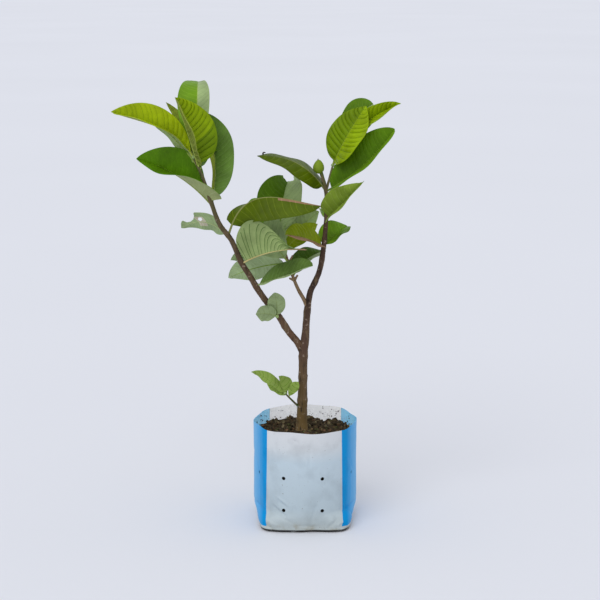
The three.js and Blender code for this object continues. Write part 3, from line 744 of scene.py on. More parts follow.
# ---------------------------------------------------------------- stems
LIMB_SIDES = 26
LIMB_SPACING = 1.1 * MM
FULL_RELIEF = 3 * MM  # radius of a limb with the whole depth of relief
RIDGE_SCALE = (420, 420, 90)  # ridges are longer upwards
RIDGE_DETAIL = (0.8, 2.1, 4)  # how fast finer ridges fade, how much finer each is, how many
WART_SCALE = 330
WART_LEVEL = 0.25  # the higher, the fewer warts
# A stub from its foot to its hollowed end: share of its length, and width as a share of its own.
STUB_PROFILE = ((0.0, 1.5), (0.35, 1.35), (0.6, 1.05), (0.85, 1.0), (0.97, 0.9), (1.0, 0.62),
                (0.9, 0.3))
STUB_SIDES = 12


def bark_relief(points, depth):
    """How far the bark stands out at each point: long ridges, cracks and small warts."""
    relief = np.empty(len(points))
    for i, point in enumerate(points):
        ridge = noise.fractal(Vector(point * RIDGE_SCALE), *RIDGE_DETAIL)
        wart = noise.noise(Vector(point) * WART_SCALE)
        relief[i] = depth * (0.55 * ridge + 0.6 * max(0.0, wart - WART_LEVEL))
    return relief


def limb_piece(name, shoot, depth, material):
    """A shoot's stem from its root to its tip, with bark in relief."""
    line = LINES[shoot]
    share = np.linspace(0, 1, int(line.length / LIMB_SPACING) + 2)
    centres = line.at(share)
    across, upward = sides_of(line.along(share))
    turns = 2 * np.pi * np.arange(LIMB_SIDES) / LIMB_SIDES
    radius = np.repeat(limb_radius(shoot, share)[:, None], LIMB_SIDES, axis=1)
    surface = (centres[:, None] + radius[..., None]
               * (np.cos(turns)[None, :, None] * across[:, None]
                  + np.sin(turns)[None, :, None] * upward[:, None]))
    relief = bark_relief(surface.reshape(-1, 3), depth).reshape(radius.shape)
    radius = radius + relief * np.clip(radius / FULL_RELIEF, 0.25, 1.2)
    return tube(name, centres, across, upward, radius, LIMB_SIDES, [material])


def stub_piece(shoot, at, azimuth, elevation, length, radius, material):
    """A short broken twig or leaf scar, with a swollen foot and a blunt, hollowed end."""
    foot = LINES[shoot].at(at)[0]
    out = towards(azimuth, elevation)
    centres = np.array([foot + out * length * MM * share for share, _ in STUB_PROFILE])
    across, upward = sides_of(np.repeat(out[None], len(STUB_PROFILE), axis=0), (0.0, 0.3, 1.0))
    radii = np.array([radius * MM * width for _, width in STUB_PROFILE])
    return tube("stub", centres, across, upward, radii, STUB_SIDES, [material])


class GUAVA_OT_stems(bpy.types.Operator):
    """Bark over the trunk, the boughs and the twigs, with knots and broken side twigs"""

    bl_idname = "guava.stems"
    bl_label = "Stems"

    def execute(self, context):
        settings = context.scene.guava_bark
        base, upper = tuple(settings.base_colour), tuple(settings.upper_colour)
        old = bark_material("bark_old", [
            *shades(base, (0.0, 1.3), (0.08, 1)), *shades(upper, (0.3, 1), (0.45, 0.7), (0.72, 0.9)),
            (0.82, (0.09, 0.08, 0.03)), (0.89, (0.10, 0.15, 0.03)), (1.0, (0.14, 0.21, 0.05))])
        bough = bark_material("bark_bough", [
            (0.0, upper), (0.3, (0.115, 0.058, 0.030)), (0.65, (0.082, 0.052, 0.026)),
            (0.82, (0.10, 0.09, 0.035)), (1.0, (0.13, 0.15, 0.05))])
        twig = bark_material("bark_twig", [(0.0, (0.27, 0.16, 0.09)), (1.0, (0.30, 0.21, 0.11))])
        light = bark_material("bark_light", [
            (0.0, (0.07, 0.10, 0.02)), (0.25, (0.09, 0.11, 0.03)), (0.4, (0.16, 0.11, 0.05)),
            (0.7, (0.13, 0.10, 0.05)), (1.0, (0.17, 0.17, 0.06))])
        # Each piece's shoot, share of the relief, bark, and the nodes that it stands for.
        pieces = {
            "bark_leader": ("leader", 1.0, old, "trunk", "bough_right"),
            "bark_left": ("left", 0.8, bough, "bough_left"),
            "bark_centre": ("centre", 0.7, twig, "twig_centre"),
            "stem_basal": ("basal", 0.4, light),
            "stem_low": ("lowTwig", 0.4, light),
            "stem_crown": ("crownTwig", 0.4, light),
        }
        for name, (shoot, share, bark, *nodes) in pieces.items():
            limb = limb_piece(name, shoot, settings.relief * share, bark)
            stubs = [stub_piece(*stub, bark) for stub in STUBS if stub[0] == shoot]
            finish_piece(join([limb, *stubs], name), "bark", *nodes)
        return {"FINISHED"}


# ---------------------------------------------------------------- leaves
VEIN_LEAN = 0.62  # how far a vein runs forward on its way to the margin, for each unit outwards
VEIN_CURL = 0.4  # how much of that comes near the margin
VEIN_END = 0.86  # share of the half width where a side vein fades
VEIN_STRAY = 0.17  # how far a vein stands from its even place, in spacings
FEWEST_VEINS = 3
ROWS_BETWEEN = 5  # from one vein to the next
COLUMNS = 12  # on each half of a blade
COLUMN_CROWDING = 1.15  # above 1 brings the columns nearer the midrib
FULL_QUILT = 70 * MM  # length of a leaf that is quilted to the whole height
QUILT_SUNK = 0.45  # share of that height that lies below the blade's plain face, at the veins
SLACK = 0.35 * MM  # how high a margin wanders off the blade's smooth face
BLADE_CREASE = 50  # degrees between faces that show as an edge
# The midrib's radius at shares of its length, in millimetres, on a leaf of the usual length.
RIB_RADII = ((0, 1.25), (PETIOLE, 1.15), (0.25, 0.85), (0.6, 0.55), (0.9, 0.3), (1, 0.16))
USUAL_LENGTH = 100 * MM
RIB_END = 0.985
RIB_RINGS = 34
RIB_SIDES = 8
RIB_ROUGHNESS = 0.5
EDGE_HALF = 0.25 * MM  # the least half width of a blade
BITE_SIDES = 22
BITE_REACH = 600 * MM  # past the whole crown


def of_side(value, across):
    """A value that may be a pair, one for the left half and one for the right."""
    return np.where(across > 0, value[0], value[1]) if isinstance(value, tuple) else value


def blade_half_width(leaf, share, across):
    """Half the blade's width, on the side that across is on, at shares of the midrib."""
    blade = np.clip((share - PETIOLE) / (1 - PETIOLE), 0, 1)
    skewed = blade ** (math.log(0.5) / math.log(leaf["widest"]))
    root = of_side(leaf["base"], across)
    outline = (4 * skewed * (1 - skewed)) ** (root + (leaf["point"] - root) * blade)
    return np.maximum(EDGE_HALF, of_side(leaf["width"], across) * MM / 2 * outline)


def midrib_line(leaf, root, share):
    """Points of the midrib, which bulges between its root and its tip."""
    reach = np.array(leaf["reach"], float) * MM
    along = unit(reach)
    lift = square_to(np.array([0.0, 0.0, 1.0]), along)
    left = np.cross(lift, along)
    bulge = 4 * share * (1 - share) * (1 + leaf["skew"] * (1 - 2 * share))
    return (root + reach * share[..., None]
            + lift * (leaf["arch"] * MM * bulge)[..., None]
            + left * (leaf["bow"] * MM * bulge)[..., None])


def leaf_frame(leaf, root, share):
    """The midrib's point, its direction, and the blade's up and left, at each share."""
    step = 1e-3
    along = unit(midrib_line(leaf, root, share + step) - midrib_line(leaf, root, share - step))
    up = square_to(towards(*leaf["faces"]), along)
    return midrib_line(leaf, root, share), along, up, np.cross(up, along)


def blade_point(leaf, root, share, across, raised, phase):
    """Points of the blade at shares along it and from -1 to 1 across, raised off its face."""
    on_rib, along, up, left = leaf_frame(leaf, root, share)
    root_fold = of_side(leaf["fold"], across)
    tip_fold = of_side(leaf.get("fold_tip", leaf["fold"]), across)
    still_root = np.maximum(0, 1 - share) ** leaf["ease"]
    fold = np.radians(tip_fold + (root_fold - tip_fold) * still_root)
    outward = np.sign(across)
    half = blade_half_width(leaf, share, across)
    rippled = smoothstep(half, 0.6 * WAVE_HALF, 1.4 * WAVE_HALF) * across ** 2
    wave = LEAF_WAVE * np.sin(LEAF_WAVES * share + phase + outward) * rippled
    cup = -LEAF_CUP * half * across ** 2
    fading = np.maximum(0, 1 - share / LOBE_END) ** 2
    begun = np.clip((share - PETIOLE) / (LOBE_START - PETIOLE), 0, 1)
    lobe = leaf["lobe"] * MM * fading * begun * (across > 0)
    face = (up * np.cos(fold)[..., None] - left * (outward * np.sin(fold))[..., None])
    face = np.where((across == 0)[..., None], up, face)
    return (on_rib + left * (across * half * np.cos(fold))[..., None]
            + up * (np.abs(across) * half * np.sin(fold))[..., None]
            - along * (lobe * across ** 2)[..., None]
            + face * (cup + wave + raised)[..., None])


def vein_rows(length, spacing, width, phase):
    """Rows along the midrib: each vein is one narrow row, with wider ones between.

    Gives the rows' shares, whether the strip after each is a vein, and each row's place between
    its veins, from 0 to 1.
    """
    blade = 1 - PETIOLE
    veins = max(FEWEST_VEINS, round(length * blade / spacing))
    half = width / length / 2
    centres = [PETIOLE + blade * (k + 0.6 + VEIN_STRAY * math.sin(5 * k * k + 3 * phase))
               / (veins + 0.6) for k in range(veins)]
    shares, is_vein, between = [PETIOLE], [], [0.0]

    def add_rows(end):
        start = shares[-1]
        for step in range(1, ROWS_BETWEEN + 1):
            shares.append(start + (end - start) * step / ROWS_BETWEEN)
            is_vein.append(False)
            between.append(step / ROWS_BETWEEN % 1)

    for centre in centres:
        add_rows(centre - half)
        shares.append(centre + half)
        is_vein.append(True)
        between.append(0.0)
    add_rows(1)
    return np.array(shares), np.array(is_vein), np.array(between)


def patch_slots(leaf, share, middle, is_vein):
    """The material slot of each face, at a share along the blade and a place across it."""
    slots = np.where(is_vein & (np.abs(middle) < VEIN_END), 1, 0)
    for number, (half, low, high, inner, outer, _) in enumerate(leaf["patches"]):
        side = {"left": middle > 0, "right": middle < 0, "both": True}[half]
        inside = (share >= low) & (share < high)
        inside &= (np.abs(middle) >= inner) & (np.abs(middle) <= outer)
        slots = np.where(side & inside, slots % 2 + 2 * (number + 1), slots)
    return slots


def midrib_piece(leaf, root, length):
    """The thick midrib and its stalk, mostly below the blade."""
    share = np.linspace(0, RIB_END, RIB_RINGS)
    on_rib, _, up, left = leaf_frame(leaf, root, share)
    size = 0.45 + 0.55 * length / USUAL_LENGTH
    thick = np.interp(share, *zip(*RIB_RADII)) * MM * size
    lowered = on_rib - up * (0.35 * thick)[:, None]
    return tube("rib", lowered, left, up, thick, RIB_SIDES,
                [leaf_material(leaf["tint"], "midrib", RIB_ROUGHNESS)])


def leaf_piece(leaf, phase, settings):
    """A leaf's quilted blade and its midrib, as two objects."""
    root = LINES[leaf["on"]].at(leaf["at"])[0]
    length = np.linalg.norm(leaf["reach"]) * MM
    half_width = np.max(leaf["width"]) * MM / 2
    spacing = settings.vein_spacing * leaf["veins"]
    shares, is_vein, between = vein_rows(length, spacing, settings.vein_width, phase)
    lean = VEIN_LEAN * half_width / length
    steps = np.linspace(0, 1, COLUMNS + 1) ** COLUMN_CROWDING
    acrosses = np.concatenate([-steps[:0:-1], steps])
    quilt = settings.quilting * leaf["quilt"] * min(1.0, length / FULL_QUILT)

    def place(column, row):
        across = acrosses[column]
        away = np.abs(across)
        blade = (shares[row] - PETIOLE) / (1 - PETIOLE)
        run = away * (1 - VEIN_CURL) + VEIN_CURL * away ** 3
        swept = blade + lean * run * 4 * blade * (1 - blade)
        share = PETIOLE + swept * (1 - PETIOLE)
        bulge = np.sin(np.pi * between[row]) ** 0.7
        shoulder = smoothstep(away, 0.0, 0.2) * (1 - smoothstep(away, 0.78, 1.0))
        ends = smoothstep(blade, 0, 0.08) * (1 - smoothstep(blade, 0.9, 1))
        slack = SLACK * np.sin(9 * share + 3 * phase) * np.cos(2.3 * across + phase) * away
        raised = quilt * (bulge - QUILT_SUNK) * shoulder * ends + slack
        return blade_point(leaf, root, share, across, raised, phase)

    def paint(column, row):
        middle = (acrosses[column] + acrosses[column + 1]) / 2
        return patch_slots(leaf, shares[row], middle, is_vein[row])

    tints = [leaf["tint"], *(tint for *_, tint in leaf["patches"])]
    upper, lower = ([leaf_material(tint, part, settings.roughness)
                     for tint in tints for part in parts]
                    for parts in (("blade", "vein"), ("under", "under_vein")))
    blade = shaped_grid(leaf["name"], 2 * COLUMNS, len(shares) - 1, place, [*upper, *lower], paint)
    weld(blade, 0.01 * MM)
    turn_upper_faces_out(blade, leaf, root)
    apply_modifier(blade, "SOLIDIFY", thickness=settings.thickness, offset=0,
                   material_offset=len(upper), material_offset_rim=0, use_even_offset=False)
    smooth(blade, BLADE_CREASE)
    return [blade, midrib_piece(leaf, root, length)]


def turn_upper_faces_out(blade, leaf, root):
    """The open sheet's normals look to the side that the leaf's upper face looks to."""
    facing = Vector(leaf_frame(leaf, root, np.array([0.5]))[2][0])
    if sum(face.normal.dot(facing) * face.area for face in blade.data.polygons) < 0:
        in_edit_mode(blade, (bpy.ops.mesh.flip_normals, {}))


def bite(piece, x, z, radius):
    """Cuts a ragged hole through a piece of a leaf, front to back."""
    cutter = add_rod(BITE_SIDES, radius * MM, BITE_REACH, (x * MM, 0, z * MM), FRONT_TO_BACK)
    bpy.ops.object.transform_apply()
    for vertex in cutter.data.vertices:
        off_x, off_z = vertex.co.x - x * MM, vertex.co.z - z * MM
        around = math.atan2(off_z, off_x)
        ragged = 1 + 0.1 * math.sin(5 * around + x) + 0.06 * math.sin(9 * around)
        vertex.co.x = x * MM + off_x * ragged
        vertex.co.z = z * MM + off_z * ragged
    cut_away(piece, cutter)


class GUAVA_OT_leaves(bpy.types.Operator):
    """Veined and quilted leaves on their stalks, one piece for each mass of foliage"""

    bl_idname = "guava.leaves"
    bl_label = "Leaves"

    def execute(self, context):
        settings = context.scene.guava_leaf
        for node, (mass, rows) in LEAVES.items():
            draw = seeded_random(SEED + len(mass))
            parts = []
            for row in rows:
                leaf = {**USUAL_LEAF, **row}
                pieces = leaf_piece(leaf, 2 * math.pi * next(draw), settings)
                for piece in pieces:
                    for hole in leaf["bites"]:
                        bite(piece, *hole)
                parts += pieces
            finish_piece(join(parts, f"leaves_{mass}"), "leaf", node)
        return {"FINISHED"}


# ---------------------------------------------------------------- buds, in millimetres
BUD_MIDDLE = (16.5, 18, 446)
BUD_RADIUS = 6.8
BUD_HALF_HEIGHT = 8.6
BUD_RINGS = 25
BUD_SIDES = 24
BUD_LEAST = 0.15  # radius at a closed end
SCAR_MIDDLE = (BUD_MIDDLE[0] - 0.8, BUD_MIDDLE[1], BUD_MIDDLE[2] + BUD_HALF_HEIGHT + 0.6)
SCAR_HALF_HEIGHT = 1.5
TIP_SWELL = 1.9  # a resting bud's radius, as a share of its shoot's
TIP_LENGTH = 2.4  # and its length, in its own radii
TIP_SUNK = 0.4  # share of it that sits on the shoot
TIP_RINGS = 12
TIP_SIDES = 12
CURL_FOOT = (-50, 12.6, 462.5)
CURL_RADIUS = 1.7
CURL_TURN = (1.35, 0.2)  # from its foot to its end, in half turns
CURL_THICKNESS = ((0, 1.0), (0.5, 0.9), (1, 0.45))  # radius at shares of its length
CURL_RINGS = 14
CURL_SIDES = 8


def standing_tube(name, middle, half, radii, material):
    """An upright body of rotation with five faint seams down its sides, in millimetres."""
    height = np.linspace(-half, half, len(radii)) * MM
    centres = np.array(middle) * MM + np.outer(height, (0, 0, 1))
    across = np.repeat([[1.0, 0.0, 0.0]], len(radii), axis=0)
    upward = np.repeat([[0.0, 1.0, 0.0]], len(radii), axis=0)
    angle = 2 * np.pi * np.arange(BUD_SIDES) / BUD_SIDES
    seams = 1 - 0.05 * np.abs(np.cos(2.5 * angle)) ** 8
    radius = np.maximum(radii, BUD_LEAST)[:, None] * MM * seams[None]
    return tube(name, centres, across, upward, radius, BUD_SIDES, [material])


def flower_bud(green, dried):
    """The round bud and the dried scar on its top."""
    steps = np.linspace(0, 1, BUD_RINGS)
    profile = 0.10 + np.sin(np.pi * steps ** 0.85) ** 0.62 * (1.0 - 0.14 * steps)
    bud = standing_tube("flower_bud", BUD_MIDDLE, BUD_HALF_HEIGHT, profile * BUD_RADIUS, green)
    dome = 0.5 + 0.5 * np.cos(np.pi * steps)
    scar = standing_tube("bud_scar", SCAR_MIDDLE, SCAR_HALF_HEIGHT, dome, dried)
    return [bud, scar]


def dried_curl(material):
    """The dried, curled end of a withered tip on the olive leaf's edge."""
    turns = np.linspace(CURL_TURN[0] * np.pi, CURL_TURN[1] * np.pi, CURL_RINGS)
    ring = np.stack([np.cos(turns), 0.2 * turns, np.sin(turns)], axis=1)
    centres = (np.array(CURL_FOOT) + ring * CURL_RADIUS) * MM
    across, upward = sides_of(unit(np.gradient(centres, axis=0)))
    radius = np.interp(np.linspace(0, 1, CURL_RINGS), *zip(*CURL_THICKNESS)) * MM
    return tube("dried_curl", centres, across, upward, radius, CURL_SIDES, [material])


def resting_bud(shoot, material):
    """The closed bud that the topmost stalks of a shoot come out of."""
    end, along = LINES[shoot].at(1.0)[0], LINES[shoot].along(1.0)
    radius = TIP_SWELL * float(limb_radius(shoot, 1.0))
    steps = np.linspace(0, 1, TIP_RINGS)
    centres = end + (steps - TIP_SUNK)[:, None] * TIP_LENGTH * radius * along
    across, upward = sides_of(np.repeat(along, TIP_RINGS, axis=0))
    width = radius * np.sin(np.pi * steps ** 0.8) ** 0.8
    return tube("resting_bud", centres, across, upward, width, TIP_SIDES, [material])


class GUAVA_OT_buds(bpy.types.Operator):
    """The flower bud at the leader's tip, a dried curl, and a resting bud at each shoot's end"""

    bl_idname = "guava.buds"
    bl_label = "Buds"

    def execute(self, context):
        green = leaf_material("bud", "blade", roughness=0.5)
        pale = leaf_material("fresh", "under", UNDER_ROUGHNESS)
        dried = leaf_material("bud", "vein", roughness=0.8)
        pieces = [*flower_bud(green, dried), dried_curl(dried)]
        pieces += [resting_bud(shoot, pale) for shoot in SHOOTS]
        finish_piece(join(pieces, "buds"), "leaf")
        return {"FINISHED"}


# ---------------------------------------------------------------- the bag
SIDE_COLUMNS = 56
FACE_COLUMNS = 84
BAG_COLUMNS = 2 * (SIDE_COLUMNS + FACE_COLUMNS)
FLOOR_ROWS = 8
FOOT_ROWS = 8  # up to the side panels' lower edge
WALL_ROWS = 112
GUSSET_FLAT = 2.6 * MM  # how far the halves of a side panel are flatter than round
FILM_CREASE = 55  # degrees between faces that show as an edge
DENTS = ((2.1, 55 * MM, 1), (6, 16 * MM, 0.35))  # how many around, how tall and how deep
FOOT_DENTS = 1.5  # how much deeper dents are at the foot
FOOT_DENTS_TOP = 22 * MM
RIM_BEHIND = 2.6  # how much higher the rim is behind, in millimetres
EDGE_ROUND = 2.5 * MM  # height below which the foot's edge is drawn in
FLOOR_LIFT = 0.8 * MM  # how far the middle of the floor is off the ground
HOLE_SIDES = 24
HOLE_REACH = 300 * MM  # past both walls of the bag
# Creases in the film: azimuth in degrees and height of each end, depth and width, all but the
# azimuths in millimetres. A negative depth is a fold that stands out.
CREASES = [
    (236, 44, 250, 33, 1.4, 2.0), (234, 33, 250, 21, 1.6, 2.0), (238, 24, 256, 14, 1.2, 1.9),
    (275, 108, 275, 84, 0.9, 1.7), (283, 40, 276, 12, 0.8, 2.0), (304, 18, 296, 6, 1.6, 2.0),
    (300, 30, 309, 12, 1.0, 2.2), (226, 10, 236, 3, 1.8, 2.0), (228, 16, 240, 9, -1.3, 1.8),
    (307, 12, 316, 3, 1.8, 2.0), (303, 9, 312, 15, -1.3, 1.8), (180, 26, 226, 22, 1.5, 2.2),
    (-44, 24, 0, 28, 1.5, 2.2), (180, 90, 205, 70, 1.0, 3.0), (-30, 92, -12, 66, 1.0, 3.0),
    (196, 26, 214, 8, 1.3, 2.4), (-36, 26, -20, 8, 1.3, 2.4), (60, 30, 78, 14, 1.2, 2.2),
    (112, 34, 100, 12, 1.2, 2.2), (90, 110, 92, 86, 0.8, 1.8), (150, 29, 178, 24, 1.6, 2.0),
    (8, 28, 34, 22, 1.6, 2.0), (262, 10, 284, 8, 1.0, 1.8), (70, 10, 104, 9, 1.0, 1.8),
    (236, 47, 251, 37, -1.1, 1.4), (233, 37, 249, 26, -1.2, 1.4), (289, 84, 292, 60, 0.6, 1.9),
    (62, 124, 60, 108, -1.1, 1.6), (74, 120, 78, 106, 1.0, 1.7), (98, 125, 101, 112, -1.0, 1.5),
    (112, 122, 108, 108, 1.0, 1.7), (85, 114, 97, 111, 0.8, 1.4), (124, 118, 119, 108, -0.8, 1.5),
    (206, 122, 204, 30, -0.8, 2.4), (-26, 122, -24, 30, -0.8, 2.4), (254, 122, 262, 118, 0.8, 1.4),
]


def bag_section(height):
    """The plain tube's half width and the power of its outline, which is squarish at the foot."""
    square = 1 - smoothstep(height, 0, FOOT_HEIGHT)
    return BAG_RADIUS + (BASE_HALF - BAG_RADIUS) * square, 2 + (BASE_SQUARENESS - 2) * square


def bag_shape(angle, height):
    """The plain tube's radius at an azimuth and height."""
    half, power = bag_section(height)
    return half * (np.abs(np.cos(angle)) ** power + np.abs(np.sin(angle)) ** power) ** (-1 / power)


def wall_distance(azimuth, start):
    """How far an azimuth is from another around the bag's wall, in millimetres."""
    return np.radians((azimuth - start + 180) % 360 - 180) * BAG_RADIUS / MM


def crease_depth(angle, height):
    """How far the creases push the film in at an azimuth and height."""
    depth = np.zeros_like(angle)
    for start, low, end, high, deep, wide in CREASES:
        x, z = wall_distance(np.degrees(angle), start), height / MM - low
        run = np.array([wall_distance(end, start), high - low])
        size = np.hypot(*run)
        share = np.clip((x * run[0] + z * run[1]) / size ** 2, 0, 1)
        off = np.hypot(x - share * run[0], z - share * run[1])
        ends = np.sin(np.pi * np.clip(share, 0.04, 0.96)) ** 0.5
        depth += deep * MM * ends * np.exp(-(off / wide) ** 2)
    return depth


def film_radius(angle, height, wrinkle):
    """Radius of the film at an azimuth and height, with gussets, creases and soft dents."""
    folded = np.abs((np.degrees(angle) + 90) % 180 - 90)  # 0 at left and right, 90 at the front
    gusset = np.sin(np.pi * np.clip(folded / SEAM_ANGLE, 0, 1)) ** 2
    upper = smoothstep(height, 0.3 * FOOT_HEIGHT, FOOT_HEIGHT)
    radius = bag_shape(angle, height) - GUSSET_FLAT * gusset * upper
    dents = np.array([
        sum(depth * noise.noise(Vector((math.cos(a) * around, math.sin(a) * around, z / tall)))
            for around, tall, depth in DENTS)
        for a, z in zip(angle, height)])
    low = 1 + FOOT_DENTS * (1 - smoothstep(height, 0, FOOT_DENTS_TOP))
    return radius + wrinkle * low * dents - crease_depth(angle, height)


def rim_height(angle):
    """The film's top edge dips and rises a little, and stands highest behind."""
    behind = np.clip(np.sin(angle + 0.25), 0, 1) ** 2
    waves = 0.9 * np.sin(3 * angle + 0.6) + 0.6 * np.sin(7 * angle + 2)
    return BAG_HEIGHT + MM * (waves - 0.9 + RIM_BEHIND * behind)


def column_angle(column, height):
    """The azimuth of each column of the film at a height, with a column on each seam."""
    counts = (SIDE_COLUMNS, FACE_COLUMNS, SIDE_COLUMNS, FACE_COLUMNS)
    starts = np.cumsum((0, *counts))
    half, power = bag_section(height)
    around = []
    for turn, (at_rim, at_foot) in zip((-1, 1, 1, -1), SEAMS):
        x = (at_foot + (at_rim - at_foot) * height / BAG_HEIGHT) * MM
        y = (half ** power - np.abs(x) ** power) ** (1 / power)
        around.append(np.arctan2(turn * y, x))
    around[3] += 2 * np.pi
    around = np.array([*around, around[0] + 2 * np.pi])
    panel = np.searchsorted(starts, column, side="right") - 1
    share = (column - starts[panel]) / np.array(counts)[panel]
    each = np.arange(len(panel))
    return around[panel, each] * (1 - share) + around[panel + 1, each] * share


def film_sheet(settings, materials):
    """The whole bag as one open sheet, closed at the foot, with its panels painted."""
    heights = np.concatenate([
        np.zeros(FLOOR_ROWS),
        np.linspace(0, SEAM_FOOT, FOOT_ROWS, endpoint=False),
        np.linspace(SEAM_FOOT, BAG_HEIGHT, WALL_ROWS - FOOT_ROWS + 1)])
    inward = np.concatenate([np.linspace(0, 1, FLOOR_ROWS, endpoint=False),
                             np.ones(WALL_ROWS + 1)])

    def place(column, row):
        height = heights[row]
        angle = column_angle(column % BAG_COLUMNS, height)
        raised = np.where(height > SEAM_FOOT, (height - SEAM_FOOT) / (BAG_HEIGHT - SEAM_FOOT), 0)
        top = height + raised * (rim_height(angle) - BAG_HEIGHT)
        rounded = 1 - 0.05 * np.clip(1 - height / EDGE_ROUND, 0, 1) ** 2
        radius = film_radius(angle, height, settings.wrinkle) * inward[row] * rounded
        lift = np.where(row < FLOOR_ROWS, FLOOR_LIFT * (1 - inward[row] ** 8), 0)
        return np.stack([radius * np.cos(angle), radius * np.sin(angle), top + lift], axis=1)

    def paint(column, row):
        left_start = SIDE_COLUMNS + FACE_COLUMNS
        right = column < SIDE_COLUMNS
        left = (column >= left_start) & (column < left_start + SIDE_COLUMNS)
        return np.where(row >= FLOOR_ROWS + FOOT_ROWS, 1 * left + 2 * right, 0)

    sheet = shaped_grid("film", BAG_COLUMNS, FLOOR_ROWS + WALL_ROWS, place, materials, paint)
    weld(sheet, 0.02 * MM)
    return sheet


# Share of the white film's colour at shares of its height: bluer where it lies on the damp soil.
WHITE_BY_HEIGHT = ((0.0, (0.77, 0.80, 0.74)), (0.25, (0.70, 0.79, 0.82)), (0.7, (0.79, 0.89, 0.94)),
                   (0.84, (0.97, 0.97, 0.96)), (1.0, (1.04, 1, 0.98)))
CLOUD_SHADE = 0.86
STAIN = (17 * MM, 2 * MM)  # heights between which dirt gets thicker
STAIN_COLOUR = (0.30, 0.24, 0.12)
SPECK_COLOUR = (0.2, 0.19, 0.16)
HEM_SHADE = (4.2 * MM, 3 * MM)  # heights between which the painted shade along the bottom hem begins
HEM_SHADE_COLOUR = (0.02, 0.018, 0.016)
SHEEN = (52 * MM, 63 * MM)  # distances aside between which a painted sheen makes the blue film paler
SHEEN_BLUE = (0.18, 0.46, 0.76)
# The linings are paler than the outsides: painted light, for the light that comes through the film.
WHITE_LINING = (0.83, 0.82, 0.73)
BLUE_LINING = (0.10, 0.38, 0.66)
SMEAR_COLOUR = (0.09, 0.07, 0.045)
SPLASH_COLOUR = (0.07, 0.06, 0.045)
FILM_GLOW = 4 * MM  # how far light travels in the film, which lets it through the thin wall


def film_clouds(surface):
    return surface.between(surface.noise(38, detail=4), 0.5, 0.72)


def finish_film(surface, colour):
    """The film's shine, which comes and goes, and its fine wrinkles."""
    surface.colour(colour)
    surface.roughness(surface.between(surface.noise(90), -0.7, 1.7))
    surface.bump(surface.noise(160, detail=4), distance=0.25 * MM, strength=0.5)
    return surface.material


def white_film(name, white):
    """The white film's outside: cloudy, specked, dirty near the foot, with a painted shade at the
    hem.
    """
    surface = Surface(name, roughness=0.4, specular=0.3)
    height = surface.height(0, BAG_HEIGHT)
    stops = [(at, [part * share for part, share in zip(white, shares)])
             for at, shares in WHITE_BY_HEIGHT]
    plain = surface.ramp(height, stops)
    cloudy = surface.ramp(height, [(at, shade_of(stop, CLOUD_SHADE)) for at, stop in stops])
    film = surface.mix(film_clouds(surface), plain, cloudy)
    patchy = surface.between(surface.noise(70, detail=5), 0.5, 0.74)
    stain = surface.calculate("MULTIPLY", surface.height(*STAIN), patchy)
    film = surface.mix(stain, film, STAIN_COLOUR)
    specks = surface.between(surface.noise(520, detail=2), 0.71, 0.77)
    film = surface.mix(specks, film, SPECK_COLOUR)
    # a ragged near-black band at the very bottom: painted shade along the hem
    ragged = surface.between(surface.noise(150, detail=4), 0.2, 0.42)
    hem_shade = surface.calculate("MULTIPLY", surface.height(*HEM_SHADE), ragged)
    return finish_film(surface, surface.mix(hem_shade, film, HEM_SHADE_COLOUR))


def blue_film(name, blue):
    """A blue panel's outside: cloudy, and paler where the bag is widest, a painted sheen."""
    surface = Surface(name, roughness=0.4, specular=0.06)
    film = surface.mix(film_clouds(surface), blue, shade_of(blue, CLOUD_SHADE))
    return finish_film(surface, surface.mix(surface.aside(*SHEEN), film, SHEEN_BLUE))


def film_lining(name, colour):
    """The film's inside: paler, a painted light for the light through the film, and streaked and
    specked by splashed soil.
    """
    surface = Surface(name, roughness=0.6, specular=0.2)
    cloud = surface.noise(60, detail=5, roughness=0.6)
    film = surface.ramp(cloud, shades(colour, (0.3, 0.82), (0.7, 1.1)))
    smears = surface.between(surface.noise(130, detail=5, roughness=0.65), 0.56, 0.68)
    near_soil = surface.calculate("MULTIPLY", surface.height(BAG_HEIGHT, SOIL_TOP), smears)
    film = surface.mix(near_soil, film, SMEAR_COLOUR)
    specks = surface.between(surface.noise(430, detail=2), 0.66, 0.72)
    surface.colour(surface.mix(specks, film, SPLASH_COLOUR))
    surface.bump(surface.noise(110, detail=4), distance=0.4 * MM, strength=0.6)
    surface.shader.inputs["Subsurface Weight"].default_value = 1.0
    surface.shader.inputs["Subsurface Radius"].default_value = (1.0, 1.0, 1.0)
    surface.shader.inputs["Subsurface Scale"].default_value = FILM_GLOW
    return surface.material


def punch_holes(piece):
    """Drain holes through the front and back, and one each through the sides."""
    places = [((x * MM, 0, z * MM), FRONT_TO_BACK) for x, z in PANEL_HOLES]
    places.append(((0, SIDE_HOLE[0] * MM, SIDE_HOLE[1] * MM), SIDE_TO_SIDE))
    for location, rotation in places:
        cut_away(piece, add_rod(HOLE_SIDES, HOLE_RADIUS, HOLE_REACH, location, rotation))


